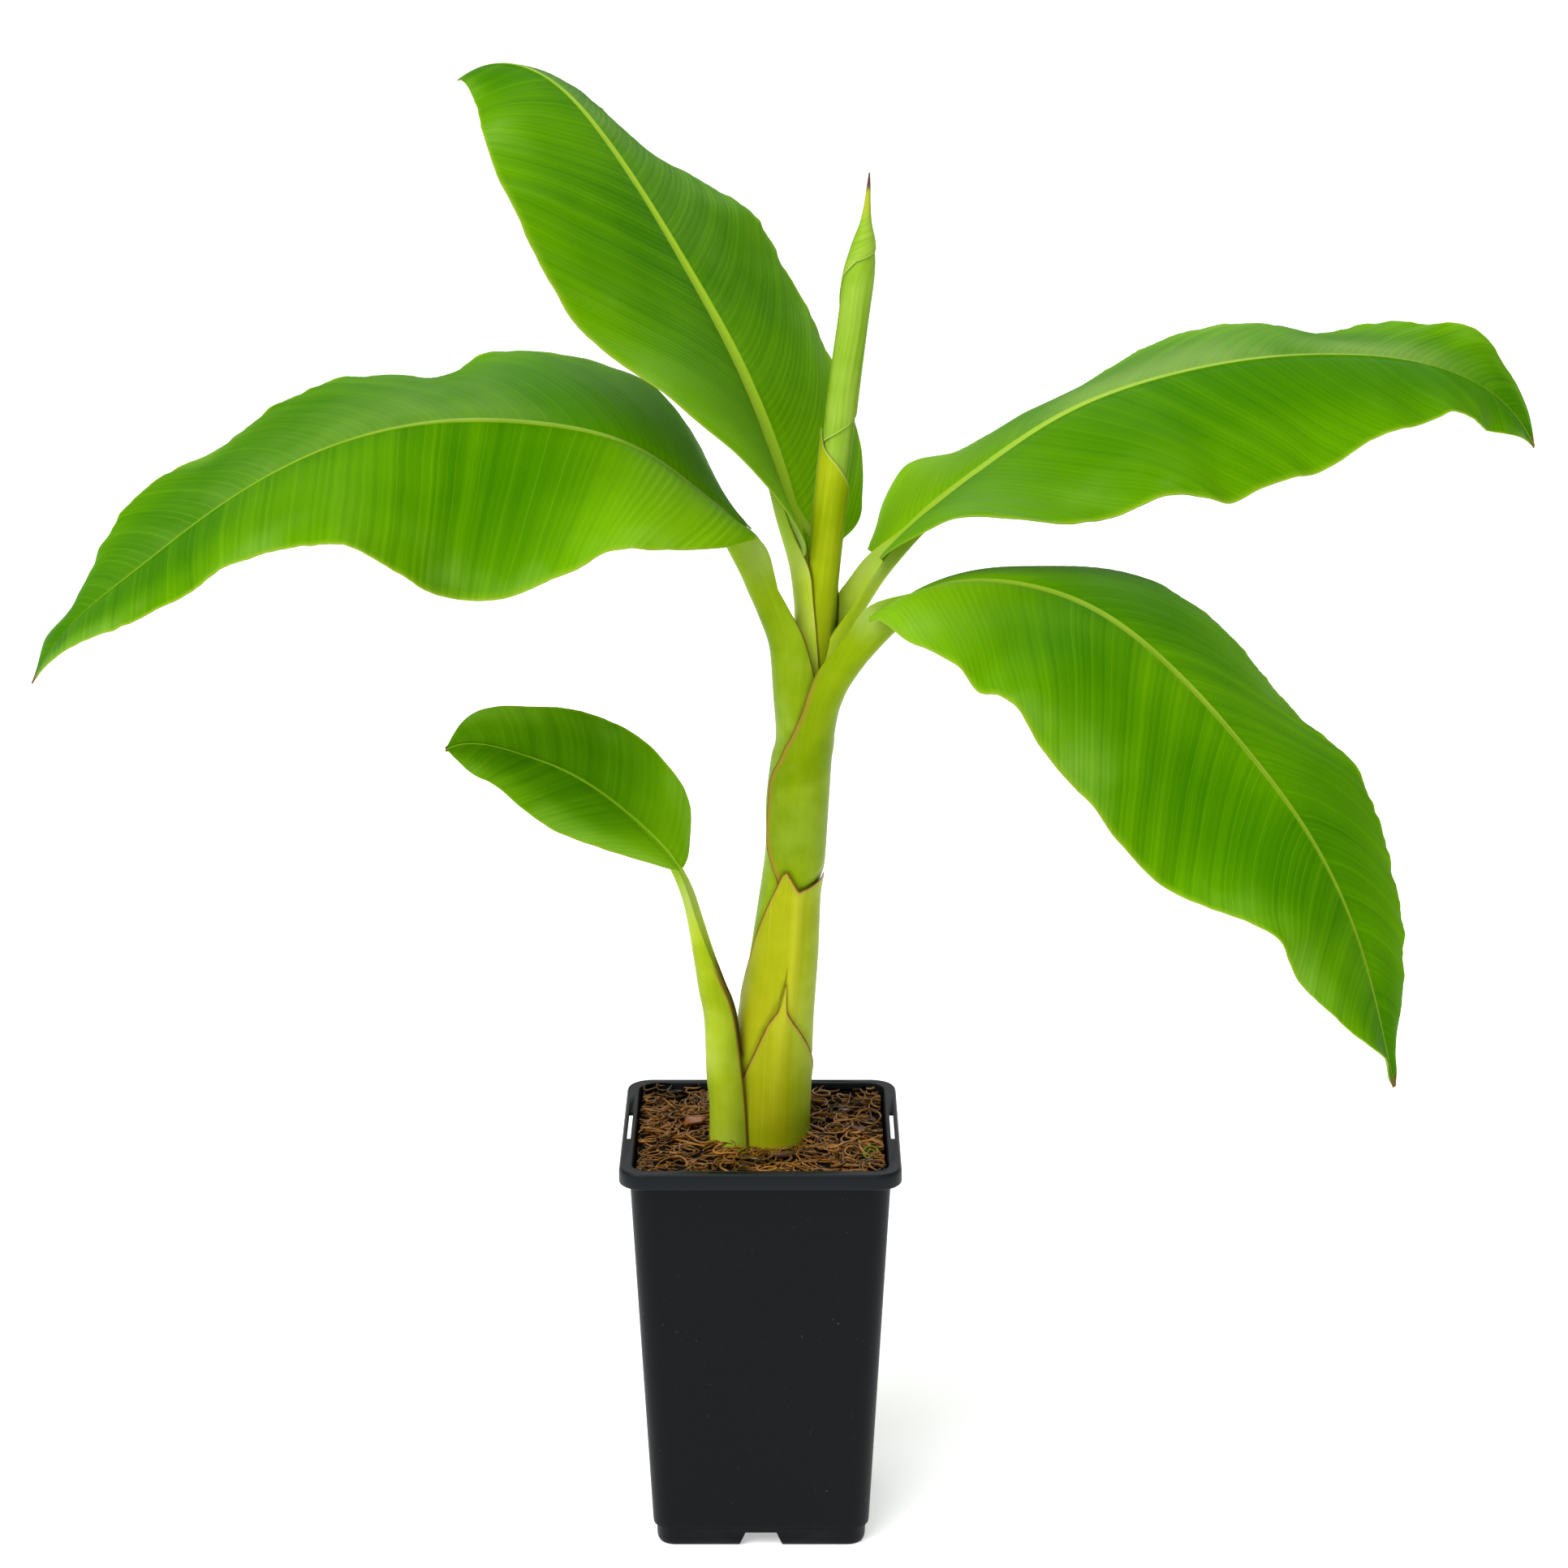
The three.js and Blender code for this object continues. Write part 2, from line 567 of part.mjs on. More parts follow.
const stem = add('pseudostem', pseudostemGeometry(), COLOURS.stem, 0.5);
const upperSheath = add(
  'upper_sheath',
  clearOf(sheathGeometry(UPPER_SHEATH, upperSheathDepth), [stem], GAP * 0.8),
  COLOURS.oldSheath,
  0.5,
);
const lowerSheath = add(
  'lower_sheath',
  clearOf(sheathGeometry(LOWER_SHEATH, () => 0), [upperSheath], GAP * 0.8),
  COLOURS.oldSheath,
  0.5,
);

const spearFoot = add('spear_foot', clearOf(roundGeometry(SPEAR_FOOT, 12, 9), [stem]), COLOURS.spear, 0.45);
add('spear_leaf', clearOf(roundGeometry(SPEAR_LEAF, 12, 14), [spearFoot]), COLOURS.spear, 0.4);

// Each petiole is cut clear of the stem and of the younger ones that it holds
const clasped = [stem, spearFoot];
const LEAF_OF_LIMB = {
  petiole_upright: 'leaf_upright',
  petiole_right_upper: 'leaf_right_upper',
  petiole_left: 'leaf_left',
  petiole_right_lower: 'leaf_right_lower',
};
for (const [limbName, leafName] of Object.entries(LEAF_OF_LIMB)) {
  const leaf = LEAVES[leafName];
  const whole = leaf.bend === 1;
  const half = GAP / 2 / leaf.length;
  const inner = add(whole ? leafName : `${leafName}_inner`, bladeGeometry(leaf, 0, whole ? 1 : leaf.bend - half), COLOURS.leaf, 0.4);
  if (!whole) add(`${leafName}_outer`, bladeGeometry(leaf, leaf.bend + half, 1), COLOURS.leaf, 0.4);
  const channel = channelGeometry(LIMBS[limbName]);
  add(limbName, clearOf(channel, [...clasped, inner]), COLOURS.petiole, 0.45);
  clasped.push(channel);
}

const suckerStem = add(
  'sucker_stem',
  clearOf(cutAtSoil(roundGeometry(SUCKER, 16, 10)), [stem, upperSheath, lowerSheath]),
  COLOURS.petiole,
  0.45,
);
const suckerLeaf = add('sucker_leaf', bladeGeometry(LEAVES.sucker_leaf, 0, 1), COLOURS.suckerLeaf, 0.4);
add('sucker_petiole', clearOf(channelGeometry(LIMBS.sucker_petiole), [suckerStem, suckerLeaf]), COLOURS.petiole, 0.45);

export default group;
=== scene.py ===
"""A young banana plant in a square nursery pot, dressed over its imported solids.

Scene units are metres, +Z up. The tables of the plant's shape are in millimetres, as its
drawing gives them, and become metres where a mesh is made.
"""
import math
import random

import bpy
import numpy as np
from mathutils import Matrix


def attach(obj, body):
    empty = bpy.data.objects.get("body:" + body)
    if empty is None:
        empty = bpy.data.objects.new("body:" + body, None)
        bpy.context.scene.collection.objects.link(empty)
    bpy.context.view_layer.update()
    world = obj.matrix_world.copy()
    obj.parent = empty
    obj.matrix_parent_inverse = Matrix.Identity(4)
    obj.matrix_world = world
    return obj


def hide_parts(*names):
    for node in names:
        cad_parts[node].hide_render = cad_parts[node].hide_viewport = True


MM = 0.001

# Camera: the picture's side in pixels, the focal length in pixels and the downward pitch
PICTURE = 1932
FOCAL = 5000
SENSOR = 36.0
PITCH = math.radians(15.56)

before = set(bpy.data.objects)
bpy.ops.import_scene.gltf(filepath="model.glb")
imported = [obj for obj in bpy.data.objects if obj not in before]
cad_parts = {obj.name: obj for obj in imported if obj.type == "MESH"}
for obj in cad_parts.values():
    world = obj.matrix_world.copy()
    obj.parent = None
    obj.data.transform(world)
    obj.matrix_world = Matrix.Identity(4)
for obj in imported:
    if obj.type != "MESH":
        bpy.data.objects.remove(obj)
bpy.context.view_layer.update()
scene = bpy.context.scene

camera = bpy.data.objects.new("camera", bpy.data.cameras.new("camera"))
camera.data.sensor_width = SENSOR
camera.data.lens = SENSOR * FOCAL / PICTURE
camera.data.clip_end = 100
camera.location = (0.0126, -2.09, 1.0)
camera.rotation_euler = (math.pi / 2 - PITCH, 0, 0)
scene.collection.objects.link(camera)
scene.camera = camera


# Square pot: whole widths measured across the flats
POT = dict(
    height=224, rim_width=151, rim_lip=9, rim_skirt=1.8, body_top=140.4, body_foot=118.4, foot_width=114.4,
    foot_height=12, wall=1.9, corner=12, slot_width=2.1, side_slot=41, front_slot=55,
)
DRAIN = dict(mouth=24, roof=17, height=8, inner=24)
SOIL_TOP = 213
# How far the stems run down into the soil
BURIED = 6

# Outline of the whole stem at a row of heights, sheaths included
STEM = dict(
    z=[213, 252, 285, 322, 355, 373, 401, 428, 452, 474],
    x=[5.4, 6.8, 8.2, 12.9, 15.2, 17.4, 18.4, 21.2, 24.8, 28],
    y=[12, 10.5, 9.5, 8.5, 7.5, 7, 6, 5, 4, 3.5],
    radius=[21.7, 21.3, 21.1, 18.9, 17.6, 16.9, 16.7, 16.3, 14.4, 9],
)

# Old cut sheaths: height of the top edge at a row of angles, where 0 is the right side and
# -90 the front. ridge is the angle of the sheath's middle rib.
UPPER_SHEATH = dict(
    angle=[-255, -225, -180, -165, -150, -120, -108, -100, -90, -75, -60, -40, -22, -12, 0, 30, 75],
    top=[246, 272, 300, 319, 334, 359, 370, 372, 368, 361, 362, 364, 366, 368, 364, 352, 331],
    ridge=-75,
)
LOWER_SHEATH = dict(
    angle=[-195, -180, -150, -135, -120, -108, -100, -90, -86, -83, -80, -77, -70, -58, -40, -15, 15, 60],
    top=[226, 232, 247, 257, 270, 281, 288, 294, 300, 314, 300, 294, 290, 284, 275, 262, 248, 226],
    ridge=-83,
)
# How deep whatever a sheath covers lies under it
SHEATH_DEPTH = 2.1

# Distance between the rows of a stalk
STALK_STEP = 3.0

# Stalks. clasp is the part that wraps the stem: how far round it goes to the left and to the
# right of its heading at a row of heights, and how deep it lies under the stem's outline.
# Each row of a path is x, y, z, radius, left wrap, right wrap, the wall at its middle, how far
# the left and the right margin stand up, and how far the cut across it leans forward.
STALKS = {
    "petiole_left": dict(
        leaf="leaf_left", heading=186, join=0.045, rib=5.0, dry_top=508,
        clasp=dict(
            z=[222, 375, 405, 430], left=[168, 168, 168, 165], right=[150] * 4, inset=[1.5, 1.5, 0.6, 0.2],
        ),
        path=[
            [21.5, 4.4, 444, 13.4, 150, 150, 2.2, 1, 1, 0], [18.6, 0.6, 468, 11.9, 128, 128, 4, 4, 4, 0],
            [14, -3.4, 496, 9.5, 120, 120, 4.4, 4.8, 4.2, 0],
            [7.6, -5.4, 514, 8.8, 112, 110, 4.4, 4, 3, 0],
            [0.4, -6, 529.5, 8.2, 112, 104, 4.4, 3.6, 2, 0],
            [-2.2, -6, 534.3, 8.2, 120, 114, 4.4, 6.6, 5.4, 24],
            [-3.8, -6, 537.6, 8.2, 134, 130, 4.4, 9.4, 8.6, 34],
            [-8.4, -6, 546.4, 8.2, 138, 138, 4.4, 5, 5, 12],
        ],
    ),
    "petiole_upright": dict(
        leaf="leaf_upright", heading=140, join=0.05, rib=5.6, dry_top=552,
        path=[
            [21, 6.5, 400, 10.4, 150, 150, 2, 0, 0, 0], [26.6, 7, 440, 10.5, 150, 150, 2.4, 0, 0, 0],
            [28, 8, 470, 11, 150, 140, 2.6, 0, 0, 0], [29.4, 9, 498, 11.6, 134, 128, 3, 0, 0, 0],
            [30, 9.8, 517, 12.3, 123, 120, 3.4, 0, 0, 0], [28, 11.5, 541, 13.2, 124, 110, 3.6, 0, 0, 0],
        ],
    ),
    "petiole_right_upper": dict(
        leaf="leaf_right_upper", heading=15, join=0.04, rib=4.4, dry_top=500,
        path=[
            [22, 6, 400, 10.2, 140, 140, 2, 0, 0, 0], [27.5, 5.5, 440, 9.8, 140, 150, 2.4, 0, 0, 0],
            [33, 6.7, 468, 9.6, 130, 150, 3, 1.6, 0.6, 0],
            [39.8, 8, 492, 7.7, 118, 140, 3.4, 3.2, 1.3, 0], [48, 9, 513, 7.7, 106, 100, 3.6, 5, 0.9, 0],
            [58, 10, 530, 7.8, 100, 96, 3.6, 3.8, 0.6, 0], [64, 10, 538, 7.5, 96, 95, 3.6, 6.6, 1.6, 0],
        ],
    ),
    "petiole_right_lower": dict(
        leaf="leaf_right_lower", heading=-32, join=0.04, rib=4.6, dry_top=476,
        clasp=dict(
            z=[226, 340, 363, 374, 388, 415, 424, 433], left=[150] * 8,
            right=[88, 88, 84, 98, 112, 117, 114, 101], inset=[0, 0, 0, -0.4, -0.9, -0.9, -0.6, -0.6],
        ),
        path=[
            [24.1, 3.8, 441, 15.5, 145, 100, 2, 0, 0, 0], [25.4, 2.2, 448, 14.6, 142, 93, 2.2, 0, 0, 0],
            [27.7, 0.4, 456, 13.6, 138, 90, 2.6, 0, 0, 0], [30.8, -2.2, 464, 12.2, 132, 94, 3, 0, 0, 0],
            [34.4, -4.8, 471, 11, 126, 106, 3.4, 0.8, 0.4, 0],
            [40.2, -7.8, 480, 9.3, 118, 122, 3.8, 2.6, 1.4, 0],
            [50, -11.5, 494, 8.7, 106, 108, 4.2, 3, 3.4, 0], [61, -14, 506, 7.9, 98, 98, 4.2, 3.8, 8, 0],
            [67, -16.5, 512.5, 7.6, 94, 94, 4.2, 4, 17, 0],
        ],
    ),
    "sucker_petiole": dict(
        leaf="sucker_leaf", heading=160, join=0.0, rib=1.9, dry_top=318,
        path=[
            [-17, 0.5, 206, 12.6, 164, 158, 1.6, 0, 0, 0], [-16.9, 0, 222, 11.4, 165, 158, 1.6, 0, 0, 0],
            [-17.7, -0.8, 240, 10.7, 167, 158, 1.6, 0, 0, 0],
            [-19.2, -2, 256, 10.6, 168, 158, 1.8, 0, 0, 0], [-21.9, -4, 288, 9, 168, 156, 1.8, 0, 0, 0],
            [-25.9, -7.5, 306, 7.8, 165, 132, 2, 0, 0, 0], [-28.8, -10.5, 322, 7, 140, 108, 2.2, 0, 0, 0],
            [-32.2, -14, 341, 6.2, 114, 92, 2.4, 0, 0, 0],
            [-36.6, -18.5, 359, 4.7, 98, 92, 2.4, 0.6, 0.4, 0],
            [-39.8, -21.6, 368, 4.4, 96, 94, 2.4, 1.4, 1.2, 0],
        ],
    ),
}

# The rolled leaf: its line and radius, the turn of its free edge at a row of heights, and the
# lower wrap with the height of its foot and its slanting top
SPEAR = dict(
    path=[
        [31, 4.5, 480, 4.8], [32.2, 5.8, 515, 7.1], [36.2, 6, 562, 7.9], [41, 6, 606, 8.4],
        [43.6, 6, 630, 8.7], [48, 6, 664, 8.6], [51.4, 6, 690, 8.7], [53.6, 6, 706, 6.6],
        [54.7, 6, 717, 3.4], [55.5, 6, 727, 1.9], [56.1, 6, 736, 1.2], [56.5, 6, 743, 0.5],
    ],
    edge_z=[480, 600, 607, 618, 690, 698, 704, 743],
    edge_turn=[-200, -190, -112, 0, 200, 250, 360, 420],
)
WRAP_FOOT = 478
SPEAR_WRAP = dict(
    angle=[-190, -180, -165, -140, -115, -90, -65, -40, -15, 0, 30, 100, 170],
    top=[609, 610, 608, 601, 597, 593, 588, 583, 579, 575, 560, 600, 609],
)

# Leaves: a rib that starts at a point, runs on one heading and pitches by the list, with a
# blade on both sides of it from the share foot on. lift is the slope of each half away from
# the rib, and each ripple of a margin has its place along the blade, its rise and its spread.
# curl is how much more the left and the right half rise at their base, over a share of the
# length. slant is how far the side veins of the left and the right half sweep to the tip. Each
# swell of a half has its place, how much wider the half is there, and its spread. sheen
# is how much pale painted reflection each half has beside its midrib, and lush how fresh its
# green is.
LEAVES = {
    "leaf_left": dict(
        start=[3.7, -6, 552.7], heading=186, length=449, half_width=105, foot=0.02,
        curl=(0, 0, 0.05), slant=(0.35, 1.2), sheen=(0, 0.46), lush=(1, 0.4),
        pitch=[34, 39.5, 14, 1, -14, -28, -37, -39, -62],
        lift_left=[-8, -17, -40, -47.5, -33, -17, -14, -12, -4],
        lift_right=[-6, 13, 13.5, 7.5, 7, 9.5, 20, 20, 6],
        ripples_left=[[0.19, 10, 0.04], [0.44, -6, 0.05], [0.56, 5, 0.04], [0.78, -3, 0.04]],
        ripples_right=[
            [0.18, 2, 0.04], [0.305, 2, 0.02], [0.35, 2.5, 0.035], [0.42, -9, 0.04], [0.54, 5, 0.04],
            [0.6, 4, 0.03], [0.69, -5.5, 0.035], [0.79, 2, 0.03], [0.89, -5, 0.035],
        ],
        swell_left=[
            [0.02, -16, 0.028], [0.09, 3, 0.025], [0.15, 17, 0.06], [0.36, 5, 0.06], [0.48, 7.5, 0.06],
            [0.66, -1.5, 0.04], [0.71, -5.5, 0.02], [0.86, 7, 0.05], [0.93, 2, 0.03],
        ],
        swell_right=[
            [0.02, -24, 0.03], [0.15, -4, 0.08], [0.36, 3, 0.06], [0.915, -6, 0.022], [0.965, 9, 0.02],
        ],
    ),
    "leaf_upright": dict(
        start=[22.9, 12, 537.8], heading=140, length=378, half_width=100, foot=0.0,
        curl=(14, 0, 0.06), slant=(1.5, 1.4), sheen=(0, 0.2), lush=(0.8, 0.9),
        pitch=[74, 68, 59, 52, 50, 46, 36, 6, -30],
        lift_left=[45, 30, 15, 2, -4, -8, -19, -35, -25],
        lift_right=[5, -2, -10, -12, -10, -15, -26, -20, -15],
        ripples_left=[[0.34, -2, 0.05], [0.66, -2, 0.05]],
        ripples_right=[
            [0.34, 1, 0.03], [0.46, -2, 0.03], [0.54, 4, 0.04], [0.67, -6, 0.04], [0.76, -1, 0.03],
        ],
        swell_left=[[0.1, -7, 0.08], [0.36, 2, 0.1], [0.64, 1, 0.1], [0.9, 1, 0.05]],
        swell_right=[
            [0.03, 7, 0.03], [0.13, -2, 0.04], [0.2, -2, 0.04], [0.46, 3, 0.04], [0.6, -3, 0.05],
            [0.71, -2, 0.03], [0.8, 1, 0.04],
        ],
    ),
    "leaf_right_upper": dict(
        start=[59.4, 10, 533.9], heading=15, length=428, half_width=95, foot=0.015,
        curl=(0, 14, 0.05), slant=(1.8, 1.3), sheen=(0.75, 0), lush=(1, 0.3),
        pitch=[51, 36, 31, 17, 8.5, 0, -9, -28, -61],
        lift_left=[5, -2, -12, -12.5, -3, 3.5, 4, 29, 50],
        lift_right=[15, 0, -24, -27, -36, -35, -30, -24, -35],
        ripples_left=[
            [0.04, -6, 0.03], [0.13, 5.5, 0.035], [0.2, -2, 0.03], [0.3, 1.5, 0.03], [0.55, 1.5, 0.06],
            [0.7, -2.5, 0.03], [0.79, 6, 0.05], [0.87, 10, 0.035],
        ],
        ripples_right=[
            [0.11, 5, 0.04], [0.335, 4, 0.04], [0.44, -5, 0.03], [0.595, -6, 0.04], [0.71, 3, 0.03],
            [0.8, 4, 0.03], [0.9, -8, 0.04],
        ],
        swell_left=[[0.05, 3, 0.03], [0.91, 6, 0.05]],
        swell_right=[
            [0.06, 4, 0.03], [0.17, 4, 0.06], [0.27, -1.5, 0.05], [0.43, 3.5, 0.05], [0.62, 0.5, 0.05],
            [0.68, -2, 0.04], [0.87, 5, 0.03], [0.94, 4, 0.03],
        ],
    ),
    "leaf_right_lower": dict(
        start=[64.5, -15, 515.5], heading=-32, length=427, half_width=95, foot=0.0,
        curl=(0, 20, 0.012), slant=(1.8, 1.4), sheen=(0, 0), lush=(0.7, 1),
        pitch=[39, 11, -9, -31, -41, -47, -60, -72, -75],
        lift_left=[3, -5, -5, -6, -7, 1, 5, 9, 6],
        lift_right=[-14, -15, -16, -18, -26, -36, -20, -12, 0],
        ripples_left=[[0.16, -2, 0.04], [0.64, 3, 0.04]],
        ripples_right=[
            [0.08, 7, 0.05], [0.28, -6, 0.03], [0.36, 3, 0.03], [0.66, -7, 0.05], [0.78, 7, 0.03],
            [0.95, 4, 0.03],
        ],
        swell_left=[
            [0.07, -9, 0.05], [0.2, -1.5, 0.06], [0.4, -1.5, 0.08], [0.56, -7.5, 0.07],
            [0.66, -1.5, 0.04], [0.78, -4.5, 0.08], [0.87, -4, 0.03], [0.95, -6, 0.05],
        ],
        swell_right=[
            [0.14, 1.5, 0.04], [0.29, 2.5, 0.03], [0.44, 5, 0.08], [0.55, 2, 0.03], [0.62, 5, 0.07],
            [0.7, 3, 0.03], [0.84, 7, 0.06], [0.965, -5, 0.02],
        ],
    ),
    "sucker_leaf": dict(
        start=[-41.7, -25, 378.4], heading=160, length=155, half_width=38, foot=0.0,
        curl=(0, 0, 0.05), slant=(1.2, 1.0), sheen=(0, 0), lush=(1, 0.6),
        pitch=[49, 43, 37, 31, 23, 14, 11, -2, -29],
        lift_left=[5, -8, -18, -28, -35, -38, -36, -45, -45],
        lift_right=[15, 40, 60, 60, 53, 58, 72, 75, 60],
        ripples_left=[[0.82, -2, 0.05], [0.68, 1.5, 0.04]],
        ripples_right=[[0.5, -1, 0.04]],
        swell_left=[[0.08, -1.5, 0.06], [0.9, 4, 0.1]],
        swell_right=[
            [0.06, -2.5, 0.06], [0.27, -2, 0.08], [0.4, -1.5, 0.06], [0.62, 0.5, 0.1], [0.82, 2.5, 0.07],
            [0.9, 3, 0.06],
        ],
    ),
}
LEAF_PIECES = {
    "leaf_left": ["leaf_left_inner", "leaf_left_outer"],
    "leaf_upright": ["leaf_upright"],
    "leaf_right_upper": ["leaf_right_upper_inner", "leaf_right_upper_outer"],
    "leaf_right_lower": ["leaf_right_lower_inner", "leaf_right_lower_outer"],
    "sucker_leaf": ["sucker_leaf"],
}

# Blade's thickness, the length of its broad folds, and the narrow folds along its side veins
# with the waves of its margin, all in metres
BLADE_THICKNESS = 0.0007
BROAD_FOLD = 0.03
PLEATS = {"Depth": 0.00028, "Width": 0.0052, "Wave": 0.004, "Wave Length": 0.022}

# Blade outline: where it is widest, how its tip narrows, and its least half widths
BLADE = dict(widest=0.4, tip_power=1.6, tip_root=1.15, base_share=0.04, tip_half_width=1.6, bulge=0.05)


def colour(red, green, blue):
    """A screen colour of 0 to 255 a channel as the linear colour a shader takes."""
    linear = [((c / 255 + 0.055) / 1.055) ** 2.4 if c > 10 else c / 255 / 12.92 for c in (red, green, blue)]
    return (*linear, 1.0)


# Tint of the reflection on fresh plant skin and on coir
WAXY_GREEN = (0.75, 1.0, 0.15, 1.0)
COIR_TINT = (1.0, 0.72, 0.42, 1.0)

# Distance in metres from one fine side vein to the next, on the upper and the under side
RIB_GAP = 0.0046
UNDER_RIB_GAP = 0.0036


class Value:
    """A value that varies over a surface or a mesh. Expressions on it add Math nodes."""

    def __init__(self, tree, made, output):
        self.tree, self.made = tree, made
        self.socket = made.outputs[output]

    def also(self, output):
        """Another output of the same node."""
        return Value(self.tree, self.made, output)

    def __add__(self, other):
        return self.tree.math("ADD", self, other)

    def __sub__(self, other):
        return self.tree.math("SUBTRACT", self, other)

    def __rsub__(self, other):
        return self.tree.math("SUBTRACT", other, self)

    def __mul__(self, other):
        return self.tree.math("MULTIPLY", self, other)

    def __truediv__(self, other):
        return self.tree.math("DIVIDE", self, other)

    def __pow__(self, other):
        return self.tree.math("POWER", self, other)

    def __abs__(self):
        return self.tree.math("ABSOLUTE", self)

    __radd__ = __add__
    __rmul__ = __mul__


class Tree:
    """A node tree that is written as expressions, for a material or for a modifier."""

    def __init__(self, tree):
        self.tree = tree

    def node(self, kind, settings=None, values=None, output=0):
        """Adds a node: its settings first, then the values or links of its sockets."""
        made = self.tree.nodes.new(kind)
        for name, setting in (settings or {}).items():
            if name == "stops":
                while len(made.color_ramp.elements) < len(setting):
                    made.color_ramp.elements.new(0.5)
                for element, (position, shade) in zip(made.color_ramp.elements, setting):
                    element.position = position
                    element.color = shade
            else:
                setattr(made, name, setting)
        for name, value in (values or {}).items():
            if isinstance(value, Value):
                self.tree.links.new(value.socket, made.inputs[name])
            else:
                made.inputs[name].default_value = value
        return Value(self, made, output) if made.outputs else made

    def math(self, operation, *values):
        return self.node("ShaderNodeMath", {"operation": operation}, dict(enumerate(values)))

    def smooth(self, value, low, high):
        """0 below low, 1 above high, and a soft step between them. low may lie above high."""
        settings = {"interpolation_type": "SMOOTHSTEP", "clamp": True}
        if low > high:
            return 1 - self.smooth(value, high, low)
        return self.node("ShaderNodeMapRange", settings, {0: value, 1: low, 2: high})

    def mix(self, factor, low, high):
        """Colour low where the factor is 0 and high where it is 1."""
        low, high = (colour(*shade) if isinstance(shade, tuple) else shade for shade in (low, high))
        return self.node("ShaderNodeMix", {"data_type": "RGBA"}, {0: factor, 6: low, 7: high}, output=2)

    def coats(self, base, *rows):
        """A base colour under coats. Each row is how far a coat covers, and its colour."""
        for cover, shade in rows:
            base = self.mix(cover, base, shade)
        return base

    def chance(self, low, high, seed):
        """A random value for each point or instance, of numbers or of vectors."""
        if isinstance(low, tuple):
            settings, values, output = {"data_type": "FLOAT_VECTOR"}, {0: low, 1: high}, 0
        else:
            settings, values, output = None, {2: low, 3: high}, 1
        return self.node("FunctionNodeRandomValue", settings, {**values, "Seed": seed}, output)

    def vectors(self, operation, first, second):
        return self.node("ShaderNodeVectorMath", {"operation": operation}, {0: first, 1: second})

    def moved(self, geometry, **where):
        """Geometry put at a Position, or pushed by an Offset."""
        return self.node("GeometryNodeSetPosition", None, {"Geometry": geometry, **where})

    def attributes(self, *names):
        return [self.node("ShaderNodeAttribute", {"attribute_name": name}, output="Fac") for name in names]

    def fibres(self, around, length):
        """Fine noise drawn out along a stem, a stalk or a rolled leaf."""
        return self.noise(1, 3, 0.6, vector=self.vector(around, length))

    def noise(self, scale, detail=2.0, rough=0.5, vector=None, **values):
        """Soft noise around one half, on Object coordinates unless a vector is given."""
        place = vector or self.node("ShaderNodeTexCoord", output="Object")
        sockets = {"Vector": place, "Scale": scale, "Detail": detail, "Roughness": rough, **values}
        return self.node("ShaderNodeTexNoise", None, sockets)

    def noise_of(self, value, scale, detail=2.0, rough=0.5):
        """Soft noise that varies with one number only."""
        sockets = {"W": value, "Scale": scale, "Detail": detail, "Roughness": rough}
        return self.node("ShaderNodeTexNoise", {"noise_dimensions": "1D"}, sockets)

    def clamped(self, value):
        """The value kept between 0 and 1."""
        return self.node("ShaderNodeClamp", None, {0: value})

    def vector(self, x, y, z=0.0):
        return self.node("ShaderNodeCombineXYZ", None, {0: x, 1: y, 2: z})


def finish(name, paint, *shades, **looks):
    """A material. paint gives the Principled shader's socket values, and may give Through, the
    colour of the light that shines through, with its share Thin."""
    material = bpy.data.materials.new(name)
    material.use_nodes = True
    material.node_tree.nodes.clear()
    tree = Tree(material.node_tree)
    sockets = paint(tree, *shades, **looks)
    through, thin = sockets.pop("Through", None), sockets.pop("Thin", 0.3)
    shader = tree.node("ShaderNodeBsdfPrincipled", None, sockets)
    if through is not None:
        light = tree.node("ShaderNodeBsdfTranslucent", None, {"Color": through})
        shader = tree.node("ShaderNodeMixShader", None, {0: thin, 1: shader, 2: light})
    tree.node("ShaderNodeOutputMaterial", None, {"Surface": shader})
    return material


def skin(tree, base, rough, height, strength, deep, shine=0.14, **more):
    """Socket values of a surface whose normals follow a height, deep metres at the most."""
    normal = tree.node("ShaderNodeBump", None, {"Strength": strength, "Distance": deep, "Height": height})
    return {"Base Color": base, "Roughness": rough, "Specular IOR Level": shine, "Normal": normal, **more}


def plant_skin(tree, *values, through=None, thin=0.1, **more):
    """Fresh plant skin: green in its reflection, and some light shines through."""
    lit = {"Through": colour(*through), "Thin": thin} if through else {}
    return skin(tree, *values, **{"Specular Tint": WAXY_GREEN}, **lit, **more)


